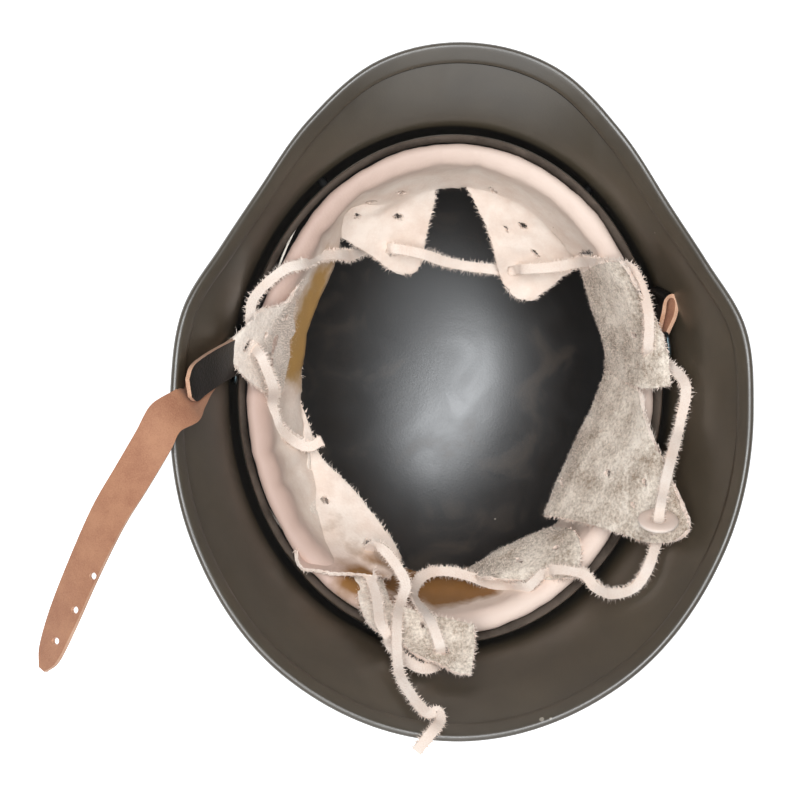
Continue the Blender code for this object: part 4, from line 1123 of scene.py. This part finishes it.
class HelmetSizes(bpy.types.PropertyGroup):
    hem_radius: length("Hem radius", "Radius of the rolled hem of the shell", 1.7 * MM, 0.5 * MM, 4 * MM)
    band_thickness: length("Band thickness", "Thickness of the steel liner bands", 0.9 * MM, 0.4 * MM, 2 * MM)
    band_lean: length("Band lean", "How far a band's lower edge stands in from its top", 3.0 * MM, 0.0, 4 * MM)
    pin_reach: length("Pin reach", "How far a pin's head stands out from the outer band", 9.0 * MM, 4 * MM, 20 * MM)
    leather: length("Hide thickness", "Thickness of the liner's hide", 1.8 * MM, 0.8 * MM, 3 * MM)
    lace_width: length("Lace width", "Width of the flat thong", 4.2 * MM, 2 * MM, 8 * MM)
    lace_thickness: length("Lace thickness", "Thickness of the flat thong", 1.1 * MM, 0.6 * MM, 3 * MM)
    strap_width: length("Strap width", "Width of the chin strap", 16.0 * MM, 8 * MM, 25 * MM)
    strap_thickness: length("Strap thickness", "Thickness of the chin strap", 1.8 * MM, 0.8 * MM, 3 * MM)


class HelmetColours(bpy.types.PropertyGroup):
    paint: tint("Enamel", "Shell enamel on the skirt where it is dusty", "#4E4435")
    paint_dark: tint("Enamel shade", "Shell enamel on the skirt where it is clean", "#42392C")
    # Painted shade: the dome's enamel, the hem's crease and the pins' shanks are painted this dark.
    deep_painted_shade: tint("Deep enamel", "Shell enamel in the dome", "#0F0C0A")
    scuff: tint("Scuffs", "Rubbed marks in the dome", "#33291F")
    dust: tint("Dust", "Specks on the enamel", "#A39A8C")
    steel: tint("Bright steel", "Clean spring steel", "#8F8981")
    steel_stain: tint("Stained steel", "Tarnish on the steel", "#7D7268")
    tarnish: tint("Tarnish", "Dark tarnish on the faces of the bands", "#4A4038")
    wire: tint("Wire", "Wire of the strap bails", "#4C585C")
    grain: tint("Hide grain", "Smooth side of the liner's hide", "#F8E8DA")
    grain_shade: tint("Hide grain shade", "Darker tone of the smooth side", "#EAD3C2")
    # Painted light and shade with handling marks: the roll is pinker from handling and painted darker towards the left,
    # where shade falls; this is its colour at the left.
    roll: tint("Rolled hide", "Smooth side where it is rolled over the band", "#CDAFA0")
    # Painted light: the roll's colour at the right, lighter where the light falls.
    roll_painted_lit: tint("Clean rolled hide", "Rolled smooth side at the right, less handled", "#F0D8C8")
    # Painted shade: warm amber shade on the sweatband beside the left fingers.
    painted_amber_shade: tint("Amber stain", "Old varnish on the smooth side at the left", "#B48A4C")
    # Painted shade: brown shade in the hollows under the rear fingers.
    painted_brown_shade: tint("Brown stain", "Old glue and sweat on the smooth side", "#8F6230")
    hide_stain: tint("Hide stain", "Faint stains on the smooth side", "#DDBDA6")
    flesh: tint("Hide flesh", "Rough side of the liner's hide", "#FAEDDD")
    flesh_shade: tint("Hide flesh shade", "Darker tone of the rough side", "#A4917E")
    edge: tint("Hide cut edge", "Cut edges, fibres and lace", "#F6E7DA")
    strap: tint("Strap grain", "Smooth side of the chin strap", "#110E0D")
    strap_shade: tint("Strap grain shade", "Darker tone of the strap", "#090706")
    strap_flesh: tint("Strap flesh", "Rough side of the chin strap", "#BA8564")
    strap_flesh_shade: tint("Strap flesh shade", "Darker tone of the rough side", "#A26C50")
    strap_edge: tint("Strap cut edge", "Cut edge of the chin strap", "#DDB294")
    floor: tint("Floor", "Studio paper", "#FCFCFB")


class HelmetStage(bpy.types.PropertyGroup):
    top_power: bpy.props.FloatProperty(name="Top light", description="Power of the overhead softbox", default=48.0, min=0.0, subtype="POWER")
    low_power: bpy.props.FloatProperty(name="Low light", description="Power of the softbox behind the neck guard", default=12.0, min=0.0, subtype="POWER")
    surround: bpy.props.FloatProperty(name="Surround", description="Strength of the even surround", default=0.15, min=0.0)


class HELMET_OT_camera(bpy.types.Operator):
    """Places the camera over the open helmet"""
    bl_idname = "helmet.camera"
    bl_label = "Camera"

    def execute(self, context):
        make_camera()
        return {"FINISHED"}


class HELMET_OT_lace(bpy.types.Operator):
    """Builds the flat lace and its washer"""
    bl_idname = "helmet.lace"
    bl_label = "Lace and washer"

    def execute(self, context):
        sizes = context.scene.helmet_sizes
        washer = make_washer()
        lace, route = make_lace(sizes)
        return {"FINISHED"}


class HELMET_OT_shell(bpy.types.Operator):
    """Builds the pressed shell with its rolled hem"""
    bl_idname = "helmet.shell"
    bl_label = "Shell"

    def execute(self, context):
        make_shell(context.scene.helmet_sizes)
        return {"FINISHED"}


class HELMET_OT_bands(bpy.types.Operator):
    """Builds the liner's steel bands, pins and strap bails, and gives the springs a steel finish"""
    bl_idname = "helmet.bands"
    bl_label = "Bands and pins"

    def execute(self, context):
        make_bands(context.scene.helmet_sizes)
        make_pins(context.scene.helmet_sizes)
        make_bails()
        return {"FINISHED"}


class HELMET_OT_liner(bpy.types.Operator):
    """Builds the leather sweatband with its fingers and loose fibres"""
    bl_idname = "helmet.liner"
    bl_label = "Leather liner"

    def execute(self, context):
        make_leather(context.scene.helmet_sizes)
        return {"FINISHED"}


class HELMET_OT_straps(bpy.types.Operator):
    """Builds both halves of the chin strap"""
    bl_idname = "helmet.straps"
    bl_label = "Chin strap"

    def execute(self, context):
        make_straps(context.scene.helmet_sizes)
        return {"FINISHED"}


class HELMET_OT_stage(bpy.types.Operator):
    """Builds the floor, the lights and the surround"""
    bl_idname = "helmet.stage"
    bl_label = "Studio"

    def execute(self, context):
        make_studio(context.scene.helmet_stage, context.scene.helmet_colours)
        return {"FINISHED"}


STEPS = (HELMET_OT_camera, HELMET_OT_lace, HELMET_OT_shell, HELMET_OT_bands, HELMET_OT_liner,
         HELMET_OT_straps, HELMET_OT_stage)


class HELMET_PT_panel(bpy.types.Panel):
    """Helmet pieces, sizes and colours"""
    bl_idname = "HELMET_PT_panel"
    bl_label = "Helmet"
    bl_space_type = "VIEW_3D"
    bl_region_type = "UI"
    bl_category = "Helmet"

    def draw(self, context):
        for step in STEPS:
            self.layout.operator(step.bl_idname)
        for group in (context.scene.helmet_sizes, context.scene.helmet_colours, context.scene.helmet_stage):
            box = self.layout.box()
            for name in group.__annotations__:
                box.prop(group, name)


CLASSES = (HelmetSizes, HelmetColours, HelmetStage, *STEPS, HELMET_PT_panel)


def register():
    for kind in CLASSES:
        bpy.utils.register_class(kind)
    bpy.types.Scene.helmet_sizes = bpy.props.PointerProperty(type=HelmetSizes)
    bpy.types.Scene.helmet_colours = bpy.props.PointerProperty(type=HelmetColours)
    bpy.types.Scene.helmet_stage = bpy.props.PointerProperty(type=HelmetStage)


def unregister():
    for name in ("helmet_sizes", "helmet_colours", "helmet_stage"):
        delattr(bpy.types.Scene, name)
    for kind in reversed(CLASSES):
        bpy.utils.unregister_class(kind)


def main():
    register()
    bpy.ops.helmet.camera()
    bpy.ops.helmet.lace()
    bpy.ops.helmet.shell()
    bpy.ops.helmet.bands()
    bpy.ops.helmet.liner()
    bpy.ops.helmet.straps()
    bpy.ops.helmet.stage()


if __name__ == "__main__":
    main()
